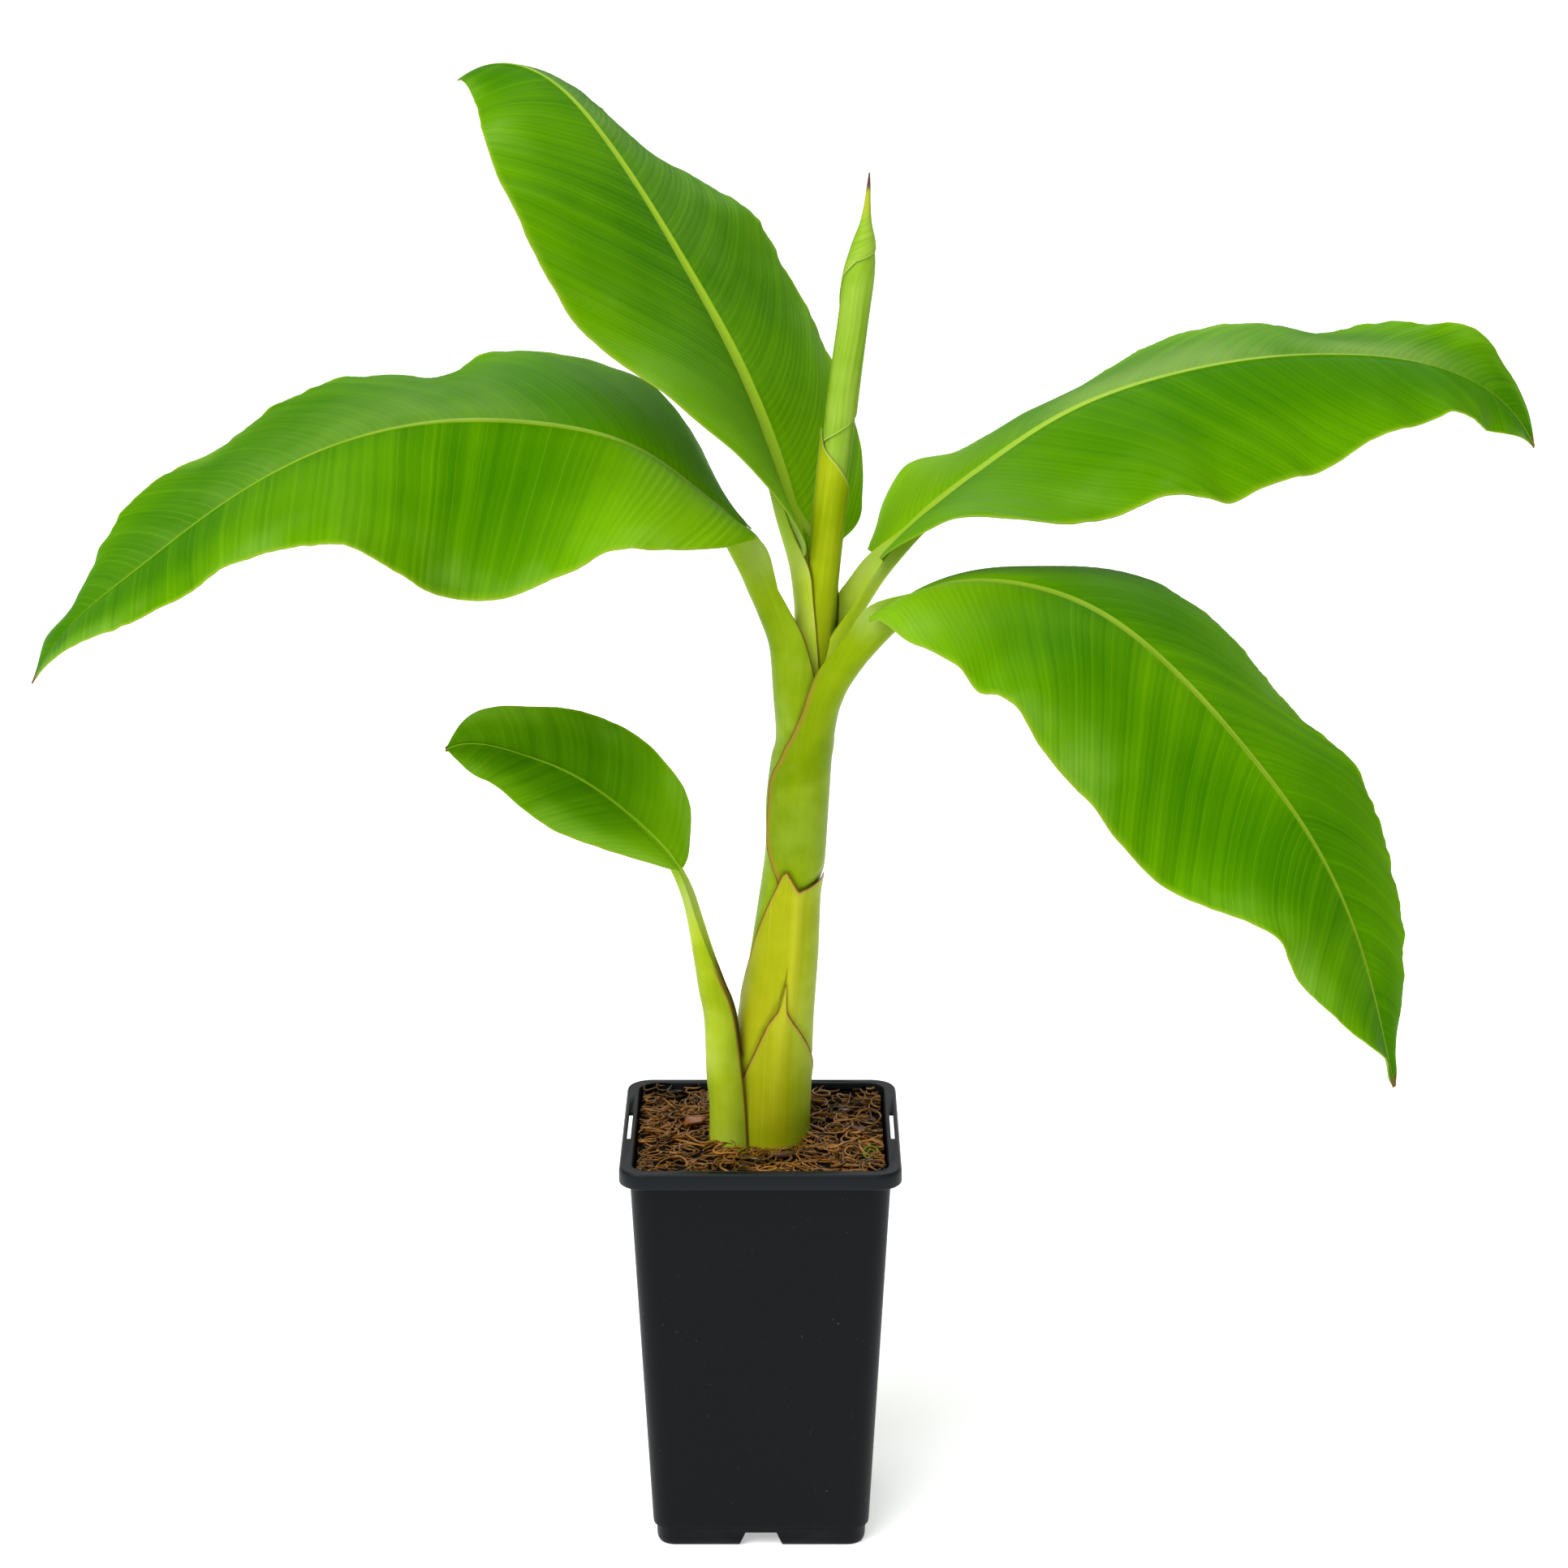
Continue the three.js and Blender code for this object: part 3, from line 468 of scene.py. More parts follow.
def paint_blade(tree, deep, fresh, edge, line, through):
    """The upper side of a leaf: uneven bands and fine lines along the side veins, fresher
    towards the margin and the base, with a thin dry line on the margin itself. sheen is how
    much pale painted reflection a half has beside the midrib, and lush how fresh its green is. Pale
    patches towards the margin are a painted highlight."""
    vein, out, share, sheen, lush = tree.attributes("vein", "out", "share", "sheen", "lush")
    out = abs(out)
    vein = vein + 0.003 * tree.noise(24)
    bands = tree.noise_of(vein, 80, 4, 0.68)
    fresher = tree.smooth(out, 0.4, 1.05) * 0.45 + tree.smooth(tree.noise(9, 3), 0.35, 0.75) * 0.5
    fresher = tree.clamped((fresher + (bands - 0.46) * 0.85) * (lush * 0.5 + 0.5))
    young = tree.smooth(share + 0.06 * bands, 0.36, 0.05) * lush
    ribs = abs(tree.math("SINE", (vein + 0.0016 * tree.noise_of(vein, 120, 1)) * (math.pi / RIB_GAP)))
    uneven = tree.smooth(tree.noise_of(vein, 130, 2), 0.35, 0.65)
    # Painted reflection: pale patches beside the midrib, more on a half that is given more of it
    pale = tree.smooth(ribs, 0.9, 0.2) * 0.06 + tree.smooth(tree.noise(13, 3), 0.3, 0.65) * 0.75
    pale = pale * tree.smooth(out, 0.75, 0.1) * tree.smooth(share, 0.2, 0.36) * tree.smooth(share, 0.95, 0.75)
    # Painted highlight: pale patches towards the margin
    painted_gloss = tree.smooth(out, 0.55, 1.0) * tree.smooth(tree.noise(15, 3), 0.46, 0.7) * (bands + 0.3)
    dry = tree.smooth(share + 0.01 * tree.noise(60), 0.988, 1.0)
    base = tree.coats(
        tree.mix(fresher, deep, fresh),
        (young * 0.8, (146, 200, 16)),
        (tree.smooth(ribs, 0.26, 0.0) * (uneven * 0.26 + 0.03), line),
        (tree.smooth(ribs, 0.7, 1.0) * (uneven * 0.16 + 0.03), deep),
        (tree.clamped(pale * sheen), (146, 180, 84)),
        (tree.clamped(painted_gloss * 0.36), (156, 200, 88)),
        (tree.smooth(out, 0.05, 0.0) * 0.25, line),
        (tree.smooth(out, 0.95, 0.99) * 0.35, (150, 190, 30)),
        (tree.smooth(out, 0.985, 0.997), edge),
        (dry, (120, 84, 40)),
    )
    height = bands * 0.7 + ribs * 0.3 + tree.noise(160, 2) * 0.2
    rough = tree.noise(14, 2) * 0.16 + 0.34
    return plant_skin(tree, base, rough, height, 0.5, 0.0008, shine=0.02, through=through, thin=0.2)


def paint_underside(tree, deep, fresh, through):
    """The under side of a leaf: paler, duller and waxy."""
    vein, out, share = tree.attributes("vein", "out", "share")
    bands = tree.noise_of(vein, 95, 3)
    ribs = abs(tree.math("SINE", vein * (math.pi / UNDER_RIB_GAP)))
    base = tree.coats(
        tree.mix(tree.smooth(bands + abs(out) * 0.3, 0.35, 0.9), deep, fresh),
        (tree.smooth(tree.noise(16, 4, 0.6), 0.4, 0.8) * 0.4, (176, 200, 140)),
        (tree.smooth(share, 0.14, 0.03) * 0.8, (164, 192, 70)),
    )
    height = bands * 0.6 + ribs * 0.3
    return plant_skin(tree, base, 0.5, height, 0.35, 0.0008, shine=0.08, through=through, thin=0.22)


def paint_stalk(tree, body, fresh, bloom, waxen, rib, edge, edge_width):
    """A leaf stalk: fine lengthwise fibres, a waxy bloom and a brown line on each margin, going
    over into the yellow-green midrib of its leaf."""
    margin, around, length, midrib = tree.attributes("edge", "around", "length", "midrib")
    inside, wing, dry = tree.attributes("inside", "wing", "dry")
    grain = tree.fibres(around * 900, length * 14)
    patches = tree.noise(34, 3, 0.55)
    middle = tree.smooth(abs(around), 0.006, 0.001)
    green = tree.mix(tree.smooth(patches, 0.3, 0.7), (112, 156, 20), rib)
    brown = tree.smooth(margin + 0.0005 * patches, edge_width * 1.5, edge_width * 0.6) * dry
    base = tree.coats(
        tree.mix(tree.smooth(grain * 0.25 + patches * 0.9, 0.35, 0.8), body, fresh),
        (tree.smooth(tree.noise(22, 4, 0.6), 0.48, 0.72) * (1 - midrib) * waxen, bloom),
        (inside * (1 - midrib) * (middle * 0.5 + 0.15), (186, 210, 118)),
        (wing * 0.5, (178, 200, 122)),
        (midrib, tree.mix(tree.smooth(length, 0.25, 0.5) * 0.5, rib, green)),
        (brown * 0.85, edge),
        (tree.smooth(margin, 0.0008, 0.0003) * dry * 0.7, (98, 58, 34)),
    )
    return plant_skin(tree, base, grain * 0.15 + 0.34, grain, 0.3, 0.0006, through=(190, 215, 60))


def paint_sheath(tree):
    """An old cut sheath: yellow on the left of its ridge and olive-green on the right, with
    orange-brown patches, pale streaks and dry brown edges, a painted highlight along the ridge and
    a faint painted shade line just right of it."""
    edge, around, height, ridge, right = tree.attributes("edge", "around", "length", "ridge", "right")
    grain = tree.fibres(around * 700, height * 9)
    patches = tree.noise(30, 3, 0.6)
    base = tree.coats(
        tree.mix(tree.smooth(grain * 0.25 + patches * 0.9, 0.35, 0.8), (156, 166, 8), (180, 184, 30)),
        (tree.smooth(tree.noise(20, 3), 0.5, 0.72) * 0.6, (184, 150, 22)),
        (
            tree.smooth(right + (patches - 0.5) * 0.8, 0.1, 0.95),
            tree.mix(tree.smooth(patches, 0.35, 0.7), (154, 170, 18), (174, 190, 50)),
        ),
        (tree.smooth(grain, 0.56, 0.72) * 0.15, (204, 206, 110)),
        # Painted highlight along the ridge
        (ridge * 0.6, (200, 200, 50)),
        # Painted shade: a faint dark line just right of the ridge, on its side turned from the light
        (tree.smooth(abs(right - 0.42), 0.1, 0.02) * 0.1, (96, 110, 10)),
        (tree.smooth(edge, 0.0034, 0.0012) * 0.4, (176, 140, 70)),
        (tree.smooth(edge + 0.0008 * grain, 0.0016, 0.0007), (122, 66, 34)),
    )
    height = grain + patches * 0.4
    return plant_skin(tree, base, grain * 0.2 + 0.36, height, 0.3, 0.0007, through=(200, 200, 50))


def paint_core(tree):
    """The stem between its sheaths."""
    around, length = tree.attributes("around", "length")
    grain = tree.fibres(around * 700, length * 14)
    fresher = tree.smooth(grain + (tree.noise(30, 3) - 0.5) * 0.8, 0.3, 0.75)
    return plant_skin(tree, tree.mix(fresher, (126, 164, 24), (160, 192, 58)), 0.42, grain, 0.3, 0.0006)


def paint_spear(tree, low, high):
    """The rolled leaf: light green with a pale bloom, fine creases along it and a dark dry tip."""
    length, around, edge = tree.attributes("length", "around", "edge")
    creases = tree.fibres(around * 420, length * 12)
    base = tree.coats(
        tree.mix(tree.smooth(tree.noise(26, 3) * 0.6 + creases * 0.4, 0.35, 0.65), low, high),
        (tree.smooth(creases, 0.4, 0.3) * 0.5, (108, 146, 30)),
        (tree.smooth(edge, 0.0016, 0.0005) * 0.6, (206, 222, 120)),
        (tree.smooth(edge, 0.0004, 0.0001) * 0.7, (110, 140, 40)),
        (tree.smooth(length, 0.716, 0.728), (176, 186, 50)),
        (tree.smooth(length, 0.732, 0.737), (104, 66, 62)),
    )
    return plant_skin(tree, base, 0.4, creases, 0.25, 0.0004, through=(190, 215, 60))


def paint_pot(tree):
    """Moulded black plastic: a fine matte grain, faint flow marks and a little dust. The rim is
    painted lighter than the walls, as painted light.
    """
    grain = tree.noise(1400, 2)
    flow = tree.noise(12, 4, 0.6)
    dust = tree.smooth(tree.noise(420, 2), 0.72, 0.8) * 0.3
    place = tree.node("ShaderNodeTexCoord", output="Object")
    height = tree.node("ShaderNodeSeparateXYZ", None, {0: place}, output=2)
    wall = tree.mix(flow, (1, 3, 7), (5, 8, 13))
    # Painted light: the rim, from about 213 mm up, is lighter than the walls
    base = tree.mix(tree.smooth(height, 0.2125, 0.2155), wall, (18, 22, 26))
    base = tree.mix(dust, base, (96, 98, 98))
    return skin(tree, base, flow * 0.16 + 0.36, grain + flow * 0.6, 0.18, 0.0002, shine=0.125)


def paint_soil(tree):
    """Dark damp coir dust under the fibres."""
    crumbs = tree.noise(420, 4, 0.7)
    base = tree.mix(tree.smooth(crumbs, 0.35, 0.7), (4, 2, 1), (20, 11, 6))
    return skin(tree, base, 0.95, crumbs, 0.8, 0.002, shine=0.1)


def paint_fibre(tree, dark, light):
    """Coir: a brown that changes from strand to strand and along each one."""
    shade, = tree.attributes("shade")
    mixed = tree.smooth(tree.noise(60, 3, 0.7), 0.35, 0.65) * 0.5 + shade ** 1.6 * 0.5
    fine = tree.noise(900, 2)
    base = tree.mix(mixed * (fine + 0.5), dark, light)
    return skin(tree, base, 0.26, fine, 0.4, 0.0004, shine=0.5, **{"Specular Tint": COIR_TINT})


def paint_floor(tree):
    """A plain pale studio floor, lit a little from below."""
    return {
        "Base Color": tree.mix(tree.noise(3, 2), (240, 240, 240), (244, 244, 244)), "Roughness": 0.85,
        "Emission Color": colour(255, 255, 255), "Emission Strength": 0.44,
    }


LEAF_TOP = finish("leaf upper side", paint_blade,
    deep=(58, 120, 0), fresh=(112, 172, 2), edge=(150, 180, 50), line=(140, 186, 34), through=(160, 205, 4),
)
LEAF_UNDER = finish("leaf under side", paint_underside, (92, 144, 30), (132, 176, 52), (160, 205, 10))
SUCKER_TOP = finish("small leaf upper side", paint_blade,
    deep=(66, 122, 0), fresh=(126, 184, 16), edge=(150, 170, 50), line=(132, 174, 40), through=(130, 180, 4),
)
STALK = finish("leaf stalk", paint_stalk,
    body=(120, 152, 2), fresh=(150, 178, 26), bloom=(168, 196, 78), waxen=0.6, rib=(144, 180, 38),
    edge=(118, 72, 40), edge_width=0.0009,
)
# Pale like young stalks are, and painted lighter still as painted light on stalk sides that face away from
# the lamps
YOUNG_STALK_PAINTED_LIGHT = finish("young leaf stalk painted lighter", paint_stalk,
    body=(178, 204, 26), fresh=(202, 222, 66), bloom=(212, 230, 108), waxen=0.6, rib=(154, 190, 42),
    edge=(132, 92, 50), edge_width=0.0008,
)
ROLLED_STALK = finish("rolled sheath", paint_stalk,
    body=(116, 144, 0), fresh=(140, 164, 10), bloom=(160, 184, 60), waxen=0.4, rib=(140, 174, 38),
    edge=(158, 132, 46), edge_width=0.0026,
)
SUCKER_STALK = finish("sucker sheath", paint_stalk,
    body=(150, 172, 8), fresh=(178, 198, 42), bloom=(188, 208, 84), waxen=0.5, rib=(156, 198, 40),
    edge=(146, 74, 44), edge_width=0.0016,
)
OLD_SHEATH = finish("old sheath", paint_sheath)
CORE = finish("stem core", paint_core)
SPEAR_ROLL = finish("rolled leaf", paint_spear, (132, 174, 30), (166, 198, 76))
SPEAR_SHEATH = finish("rolled leaf wrap", paint_spear, (150, 170, 6), (180, 192, 30))
PLASTIC = finish("black plastic", paint_pot)
COIR_DUST = finish("coir dust", paint_soil)
COIR = finish("coir strands", paint_fibre, (12, 5, 1), (156, 102, 38))
BARK = finish("bark flakes", paint_fibre, (24, 13, 7), (120, 72, 34))
ORANGE_BARK = finish("orange bark", paint_fibre, (84, 44, 20), (184, 104, 52))
PURPLE_BARK = finish("dark bark", paint_fibre, (38, 22, 22), (90, 58, 50))
SPROUT = finish("sprout", paint_fibre, (40, 72, 8), (100, 140, 20))
FLOOR = finish("studio floor", paint_floor)


def humps(rows, share):
    """Sum of soft humps at shares of a length. Each row is a place, a height and a spread."""
    return sum(height * np.exp(-(((share - place) / spread) ** 2)) for place, height, spread in rows)


def along(row, share):
    """Value of an evenly spaced row of numbers or points at shares of its length, drawn smooth."""
    row = np.asarray(row, float)
    last = len(row) - 1
    place = np.clip(share, 0, 1) * last
    i = np.minimum(place.astype(int), last - 1)
    f = (place - i).reshape(-1, *[1] * (row.ndim - 1))
    a, b, c, d = (row[np.clip(i + k, 0, last)] for k in (-1, 0, 1, 2))
    return b + 0.5 * f * (c - a + f * (2 * a - 5 * b + 4 * c - d + f * (3 * (b - c) + d - a)))


def steady(row, spacing):
    """A smooth line through a row of control rows, resampled at a spacing of its first three
    columns, which are a place."""
    fine = along(row, np.linspace(0, 1, 40 * len(row)))
    reach = np.concatenate([[0], np.cumsum(np.linalg.norm(np.diff(fine[:, :3], axis=0), axis=1))])
    even = np.linspace(0, reach[-1], max(2, round(reach[-1] / spacing)))
    return np.stack([np.interp(even, reach, column) for column in fine.T], 1)


def soft_step(value, low, high):
    t = np.clip((value - low) / (high - low), 0, 1)
    return t * t * (3 - 2 * t)


def stem_at(z):
    """Centre and radius of the stem's outline at heights."""
    x, y, radius = (np.interp(z, STEM["z"], STEM[key]) for key in ("x", "y", "radius"))
    return np.stack([x, y, z], -1), radius


def directions(heading, pitch):
    """Directions along, left of and above a limb that runs on a heading with a row of pitches."""
    h, p = math.radians(heading), np.radians(pitch)
    run = np.stack([np.cos(p) * math.cos(h), np.cos(p) * math.sin(h), np.sin(p)], -1)
    left = np.broadcast_to([-math.sin(h), math.cos(h), 0.0], run.shape)
    return run, left, np.cross(run, left)


def rib_of(leaf, share):
    """Points of a leaf's rib at shares of its length, with the directions there."""
    fine = 240
    run, _, _ = directions(leaf["heading"], along(leaf["pitch"], (np.arange(fine) + 0.5) / fine))
    line = np.array(leaf["start"]) + np.vstack([[0, 0, 0], np.cumsum(run, axis=0) * leaf["length"] / fine])
    points = np.stack([np.interp(share * fine, np.arange(fine + 1), column) for column in line.T], 1)
    return points, directions(leaf["heading"], along(leaf["pitch"], share))


def half_width(leaf, share):
    """Half width of a banana blade at shares of its length."""
    before = np.sqrt(np.clip(1 - ((BLADE["widest"] - share) / BLADE["widest"]) ** 2, 0, 1))
    beyond = np.clip((share - BLADE["widest"]) / (1 - BLADE["widest"]), 0, 1)
    after = np.clip(1 - beyond ** BLADE["tip_power"], 0, 1) ** (1 / BLADE["tip_root"])
    outline = np.where(share < BLADE["widest"], before, after)
    least = BLADE["base_share"] * leaf["half_width"] * (1 - share) + BLADE["tip_half_width"] * share
    return np.maximum(least, leaf["half_width"] * outline)


def rib_radius(stalk, share):
    """Half width of a midrib at shares of the leaf's length."""
    return 0.7 + stalk["rib"] * (1 - share) ** 1.35


def mesh_piece(name, points, faces, finishes, attributes=None, sharp=40):
    """A mesh of points in millimetres, smooth but for edges over an angle."""
    mesh = bpy.data.meshes.new(name)
    mesh.from_pydata((np.asarray(points) * MM).tolist(), [], np.asarray(faces).tolist())
    for label, values in (attributes or {}).items():
        layer = mesh.attributes.new(label, "FLOAT", "POINT")
        layer.data.foreach_set("value", np.ascontiguousarray(values, np.float32).ravel())
    for material in finishes:
        mesh.materials.append(material)
    mesh.shade_smooth()
    mesh.set_sharp_from_angle(angle=math.radians(sharp))
    piece = bpy.data.objects.new(name, mesh)
    scene.collection.objects.link(piece)
    return piece


def points_in(points, faces):
    """Whether the four-sided faces of a closed piece point in."""
    a, b, c, d = (points[faces[:, k]] - points.mean(0) for k in range(4))
    return np.sum(np.cross(c - a, d - b) * (a + b + c + d)) < 0


def lofted(name, rings, finishes, attributes=None, sharp=40):
    """Closed piece through a row of rings with the same even number of points."""
    rings = np.asarray(rings, float)
    count = rings.shape[1]
    r, i = np.meshgrid(np.arange(len(rings) - 1), np.arange(count), indexing="ij")
    a, b = r * count + i, r * count + (i + 1) % count
    walls = np.stack([a, b, b + count, a + count], -1).reshape(-1, 4)
    k = np.arange(count // 2 - 1)
    foot = np.stack([k, count - 1 - k, count - 2 - k, k + 1], 1)
    head = foot[:, ::-1] + (len(rings) - 1) * count
    faces = np.concatenate([walls, foot, head])
    points = rings.reshape(-1, 3)
    if points_in(points, faces):
        faces = faces[:, ::-1]
    return mesh_piece(name, points, faces, finishes, attributes, sharp)


def level(reach, turn):
    """Level offsets round an upright line, at turns in radians."""
    return np.stack([reach * np.cos(turn), reach * np.sin(turn), 0 * reach], -1)


def shell(name, outer, inner, finishes, both, attributes=None, sharp=40):
    """Open tube or channel with a wall. both are values that its two faces share."""
    rings = np.concatenate([outer, inner[:, ::-1]], 1)
    both = {label: np.broadcast_to(values, outer.shape[:2]) for label, values in both.items()}
    shared = {label: np.concatenate([values, values[:, ::-1]], 1) for label, values in both.items()}
    return lofted(name, rings, finishes, {**shared, **(attributes or {})}, sharp)


def round_stem(name, centre, reach, turn, spread):
    """Closed round length of stem. spread is the radius in metres that its fibres are laid on."""
    attributes = {"around": turn * spread, "length": centre[:, 2:] * MM}
    attributes = {label: np.broadcast_to(values, reach.shape) for label, values in attributes.items()}
    return lofted(name, centre[:, None] + level(reach, turn), [CORE], attributes)


def result_of(piece):
    """The piece with its modifiers worked in and taken off."""
    shaped = bpy.data.meshes.new_from_object(piece.evaluated_get(bpy.context.evaluated_depsgraph_get()))
    piece.modifiers.clear()
    piece.data = shaped
    return piece


def grown(piece, label, build, inputs):
    """Works a Geometry Nodes tree into a piece. build(tree, **sockets) writes it, and inputs
    names its sizes."""
    kinds = {int: "NodeSocketInt", float: "NodeSocketFloat", bpy.types.Material: "NodeSocketMaterial"}
    group = bpy.data.node_groups.new(label, "GeometryNodeTree")
    group.interface.new_socket("Geometry", in_out="INPUT", socket_type="NodeSocketGeometry")
    group.interface.new_socket("Geometry", in_out="OUTPUT", socket_type="NodeSocketGeometry")
    named = {}
    for name, value in inputs.items():
        socket = group.interface.new_socket(name, in_out="INPUT", socket_type=kinds[type(value)])
        named[name] = socket.identifier
    tree = Tree(group)
    entry = tree.node("NodeGroupInput")
    sockets = {name.lower().replace(" ", "_"): entry.also(name) for name in ("Geometry", *inputs)}
    result = build(tree, **sockets)
    result = tree.node("GeometryNodeRealizeInstances", None, {0: result})
    if "finish" in sockets:
        painted = {"Geometry": result, "Material": sockets["finish"]}
        result = tree.node("GeometryNodeSetMaterial", None, painted)
    tree.node("NodeGroupOutput", None, {0: result})
    modifier = piece.modifiers.new(label, "NODES")
    modifier.node_group = group
    for name, value in inputs.items():
        modifier[named[name]] = value
    return result_of(piece)


def seat(piece, slot, *nodes):
    """The piece rides on the plant and stands for solids. slot is not used."""
    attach(piece, "root")
    if nodes:
        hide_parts(*nodes)
    return piece


def cut(piece, cutters):
    """Takes the cutters out of a piece."""
    for cutter in cutters:
        modifier = piece.modifiers.new("cut", "BOOLEAN")
        modifier.operation = "DIFFERENCE"
        modifier.solver = "EXACT"
        modifier.object = cutter
        result_of(piece)
        bpy.data.objects.remove(cutter)
    return piece


def square_ring(width, corner, z, arc=9):
    """Square with rounded corners, level at height z. A point 1 mm beyond each end of a corner
    keeps its sides flat."""
    reach = width / 2 - corner
    angle = (np.arange(4)[:, None] + np.linspace(0, 1, arc)) * (math.pi / 2)
    signs = np.array([[1, 1], [-1, 1], [-1, -1], [1, -1]])[:, None, :]
    flat = signs * reach + corner * np.stack([np.cos(angle), np.sin(angle)], -1)
    onward = np.stack([-np.sin(angle), np.cos(angle)], -1)
    ends = flat[:, :1] - onward[:, :1], flat[:, -1:] + onward[:, -1:]
    flat = np.concatenate([ends[0], flat, ends[1]], 1).reshape(-1, 2)
    return np.column_stack([flat, np.full(len(flat), z)])


def turned(points, quarter):
    """Points turned round the upright axis by quarter turns."""
    c, s = round(math.cos(quarter * math.pi / 2)), round(math.sin(quarter * math.pi / 2))
    return np.asarray(points, float) @ np.array([[c, s, 0], [-s, c, 0], [0, 0, 1]])


def prism(outline, low, high):
    """Straight closed prism: an outline of y and z carried from one x to another."""
    return [[[x, y, z] for y, z in outline] for x in (low, high)]


def drain_rings(quarter):
    """Channel under the pot's foot, from its side inwards."""
    low, high, top = DRAIN["mouth"] / 2, DRAIN["roof"] / 2, DRAIN["height"]
    flare, below = 3, -5
    outline = [[-low - flare, below], [-low, 0], [-high, top], [high, top], [low, 0], [low + flare, below]]
    return turned(prism(outline, DRAIN["inner"], POT["rim_width"]), quarter)


def pot_inside(z):
    """Width of the pot's inside at a height."""
    share = z / (POT["height"] - POT["rim_lip"])
    return POT["body_foot"] + (POT["body_top"] - POT["body_foot"]) * share - 2 * POT["wall"]


def make_pot():
    lip, top, corner = POT["height"] - POT["rim_lip"], POT["height"], POT["corner"]
    rim, foot = POT["rim_width"], POT["foot_width"]
    skirt = rim - 2 * POT["rim_skirt"]
    profile = [
        (foot - 9, corner - 5, 0), (foot - 5, corner - 4, 0), (foot - 2.4, corner - 3, 0.5),
        (foot - 0.9, corner - 2, 1.8), (foot - 0.2, corner - 2, 3.6),
        (foot + 0.4, corner - 2, POT["foot_height"] - 2.2),
        (foot + 0.7, corner - 2, POT["foot_height"] - 1.6),
        (POT["body_foot"] - 0.5, corner - 1.5, POT["foot_height"] - 0.5),
        (POT["body_foot"], corner - 1, POT["foot_height"] + 0.5),
        (POT["body_foot"] + 0.2, corner - 1, POT["foot_height"] + 2),
        (POT["body_top"], corner, top - POT["wall"]), (skirt, corner + 1, top - POT["wall"]),
        (skirt, corner + 1, lip), (rim - 1.4, corner + 1.4, lip), (rim - 0.5, corner + 2, lip + 0.3),
        (rim, corner + 2, lip + 0.9), (rim - 0.1, corner + 2, top - 2.2),
        (rim - 0.7, corner + 1.8, top - 0.9), (rim - 2.0, corner + 1.2, top - 0.15),
        (rim - 3.4, corner + 0.6, top), (rim - 12.4, corner - 1.8, top),
        (rim - 13.6, corner - 2.2, top - 0.4), (rim - 14.3, corner - 2.4, top - 1.6),
        (pot_inside(SOIL_TOP - 20), corner - 2.4, SOIL_TOP - 20), (pot_inside(20), corner - 3, 20),
        (pot_inside(12) - 6, corner - 4, 12), (70, corner - 5, 12), (20, 3, 12),
    ]
    pot = lofted("pot_shell", [square_ring(*row) for row in profile], [PLASTIC], sharp=34)
    cutters = []
    slot_from, slot_low, slot_high = POT["body_top"] / 2 + 0.5, top - 6, top + 3
    for quarter in range(4):
        cutters.append(lofted("drain", drain_rings(quarter), []))
        slot = (POT["side_slot"] if quarter % 2 == 0 else POT["front_slot"]) / 2
        outline = [[-slot, slot_low], [-slot, slot_high], [slot, slot_high], [slot, slot_low]]
        rings = turned(prism(outline, slot_from, slot_from + POT["slot_width"]), quarter)
        cutters.append(lofted("slot", rings, []))
    return cut(pot, cutters)


seat(make_pot(), "pot", "pot")


def make_soil():
    """The soil's top, uneven and lower round the stems, over a plain block."""
    inside = pot_inside(SOIL_TOP) - 0.6
    outer = square_ring(inside, POT["corner"] - 2, SOIL_TOP, arc=24)
    rows, block = 60, -22
    spread = np.concatenate([np.linspace(0.01, 0.985, rows), [1.0, 1.0, 0.6, 0.01]])
    drop = np.concatenate([np.zeros(rows), [-1.5, block, block, block]])
    rings = np.stack([outer * [s, s, 1] + [0, 0, d] for s, d in zip(spread, drop)])
    flat = rings[:rows]
    waves = np.zeros(flat.shape[:2])
    wave_count, steepness = 40, 0.008
    chance = random.Random(5)
    for _ in range(wave_count):
        length = chance.uniform(9, 40)
        turn, phase = chance.uniform(0, 2 * math.pi), chance.uniform(0, 2 * math.pi)
        where = flat[..., 0] * math.cos(turn) + flat[..., 1] * math.sin(turn)
        waves += np.sin(where * 2 * math.pi / length + phase) * length * steepness
    stem_foot = 3
    away = np.hypot(flat[..., 0], flat[..., 1] - stem_foot)
    hollow, sunk = 8.5, 4.2
    flat[..., 2] += waves + hollow * soft_step(away, 20, 46) - sunk
    return lofted("soil_bed", rings, [COIR_DUST])


soil = seat(make_soil(), "soil", "soil")


def planted(tree, geometry, density, seed, shape, turn, least, most, inner=None, pick=False):
    """Shapes strewn over what faces up, and within inner if it is given. Each has a size of its
    own between least and most, and a shade of its own."""
    rise = tree.node("ShaderNodeSeparateXYZ", None, {0: tree.node("GeometryNodeInputNormal")}, output=2)
    where = tree.node("FunctionNodeCompare", {"operation": "GREATER_THAN"}, {0: rise, 1: 0.5})
    if inner:
        where = tree.node("FunctionNodeBooleanMath", {"operation": "AND"}, {0: where, 1: inner})
    points = tree.node(
        "GeometryNodeDistributePointsOnFaces", None,
        {"Mesh": geometry, "Density": density, "Seed": seed, "Selection": where},
    )
    points = tree.node(
        "GeometryNodeStoreNamedAttribute", {"data_type": "FLOAT", "domain": "POINT"},
        {"Geometry": points, "Name": "shade", "Value": tree.chance(0.0, 1.0, seed + 9)},
    )
    placed = tree.node("GeometryNodeInstanceOnPoints", None, {
        "Points": points, "Instance": shape, "Pick Instance": pick, "Rotation": turn,
        "Scale": tree.chance(least, most, seed + 7),
    })
    return tree.node("GeometryNodeRealizeInstances", None, {0: placed})


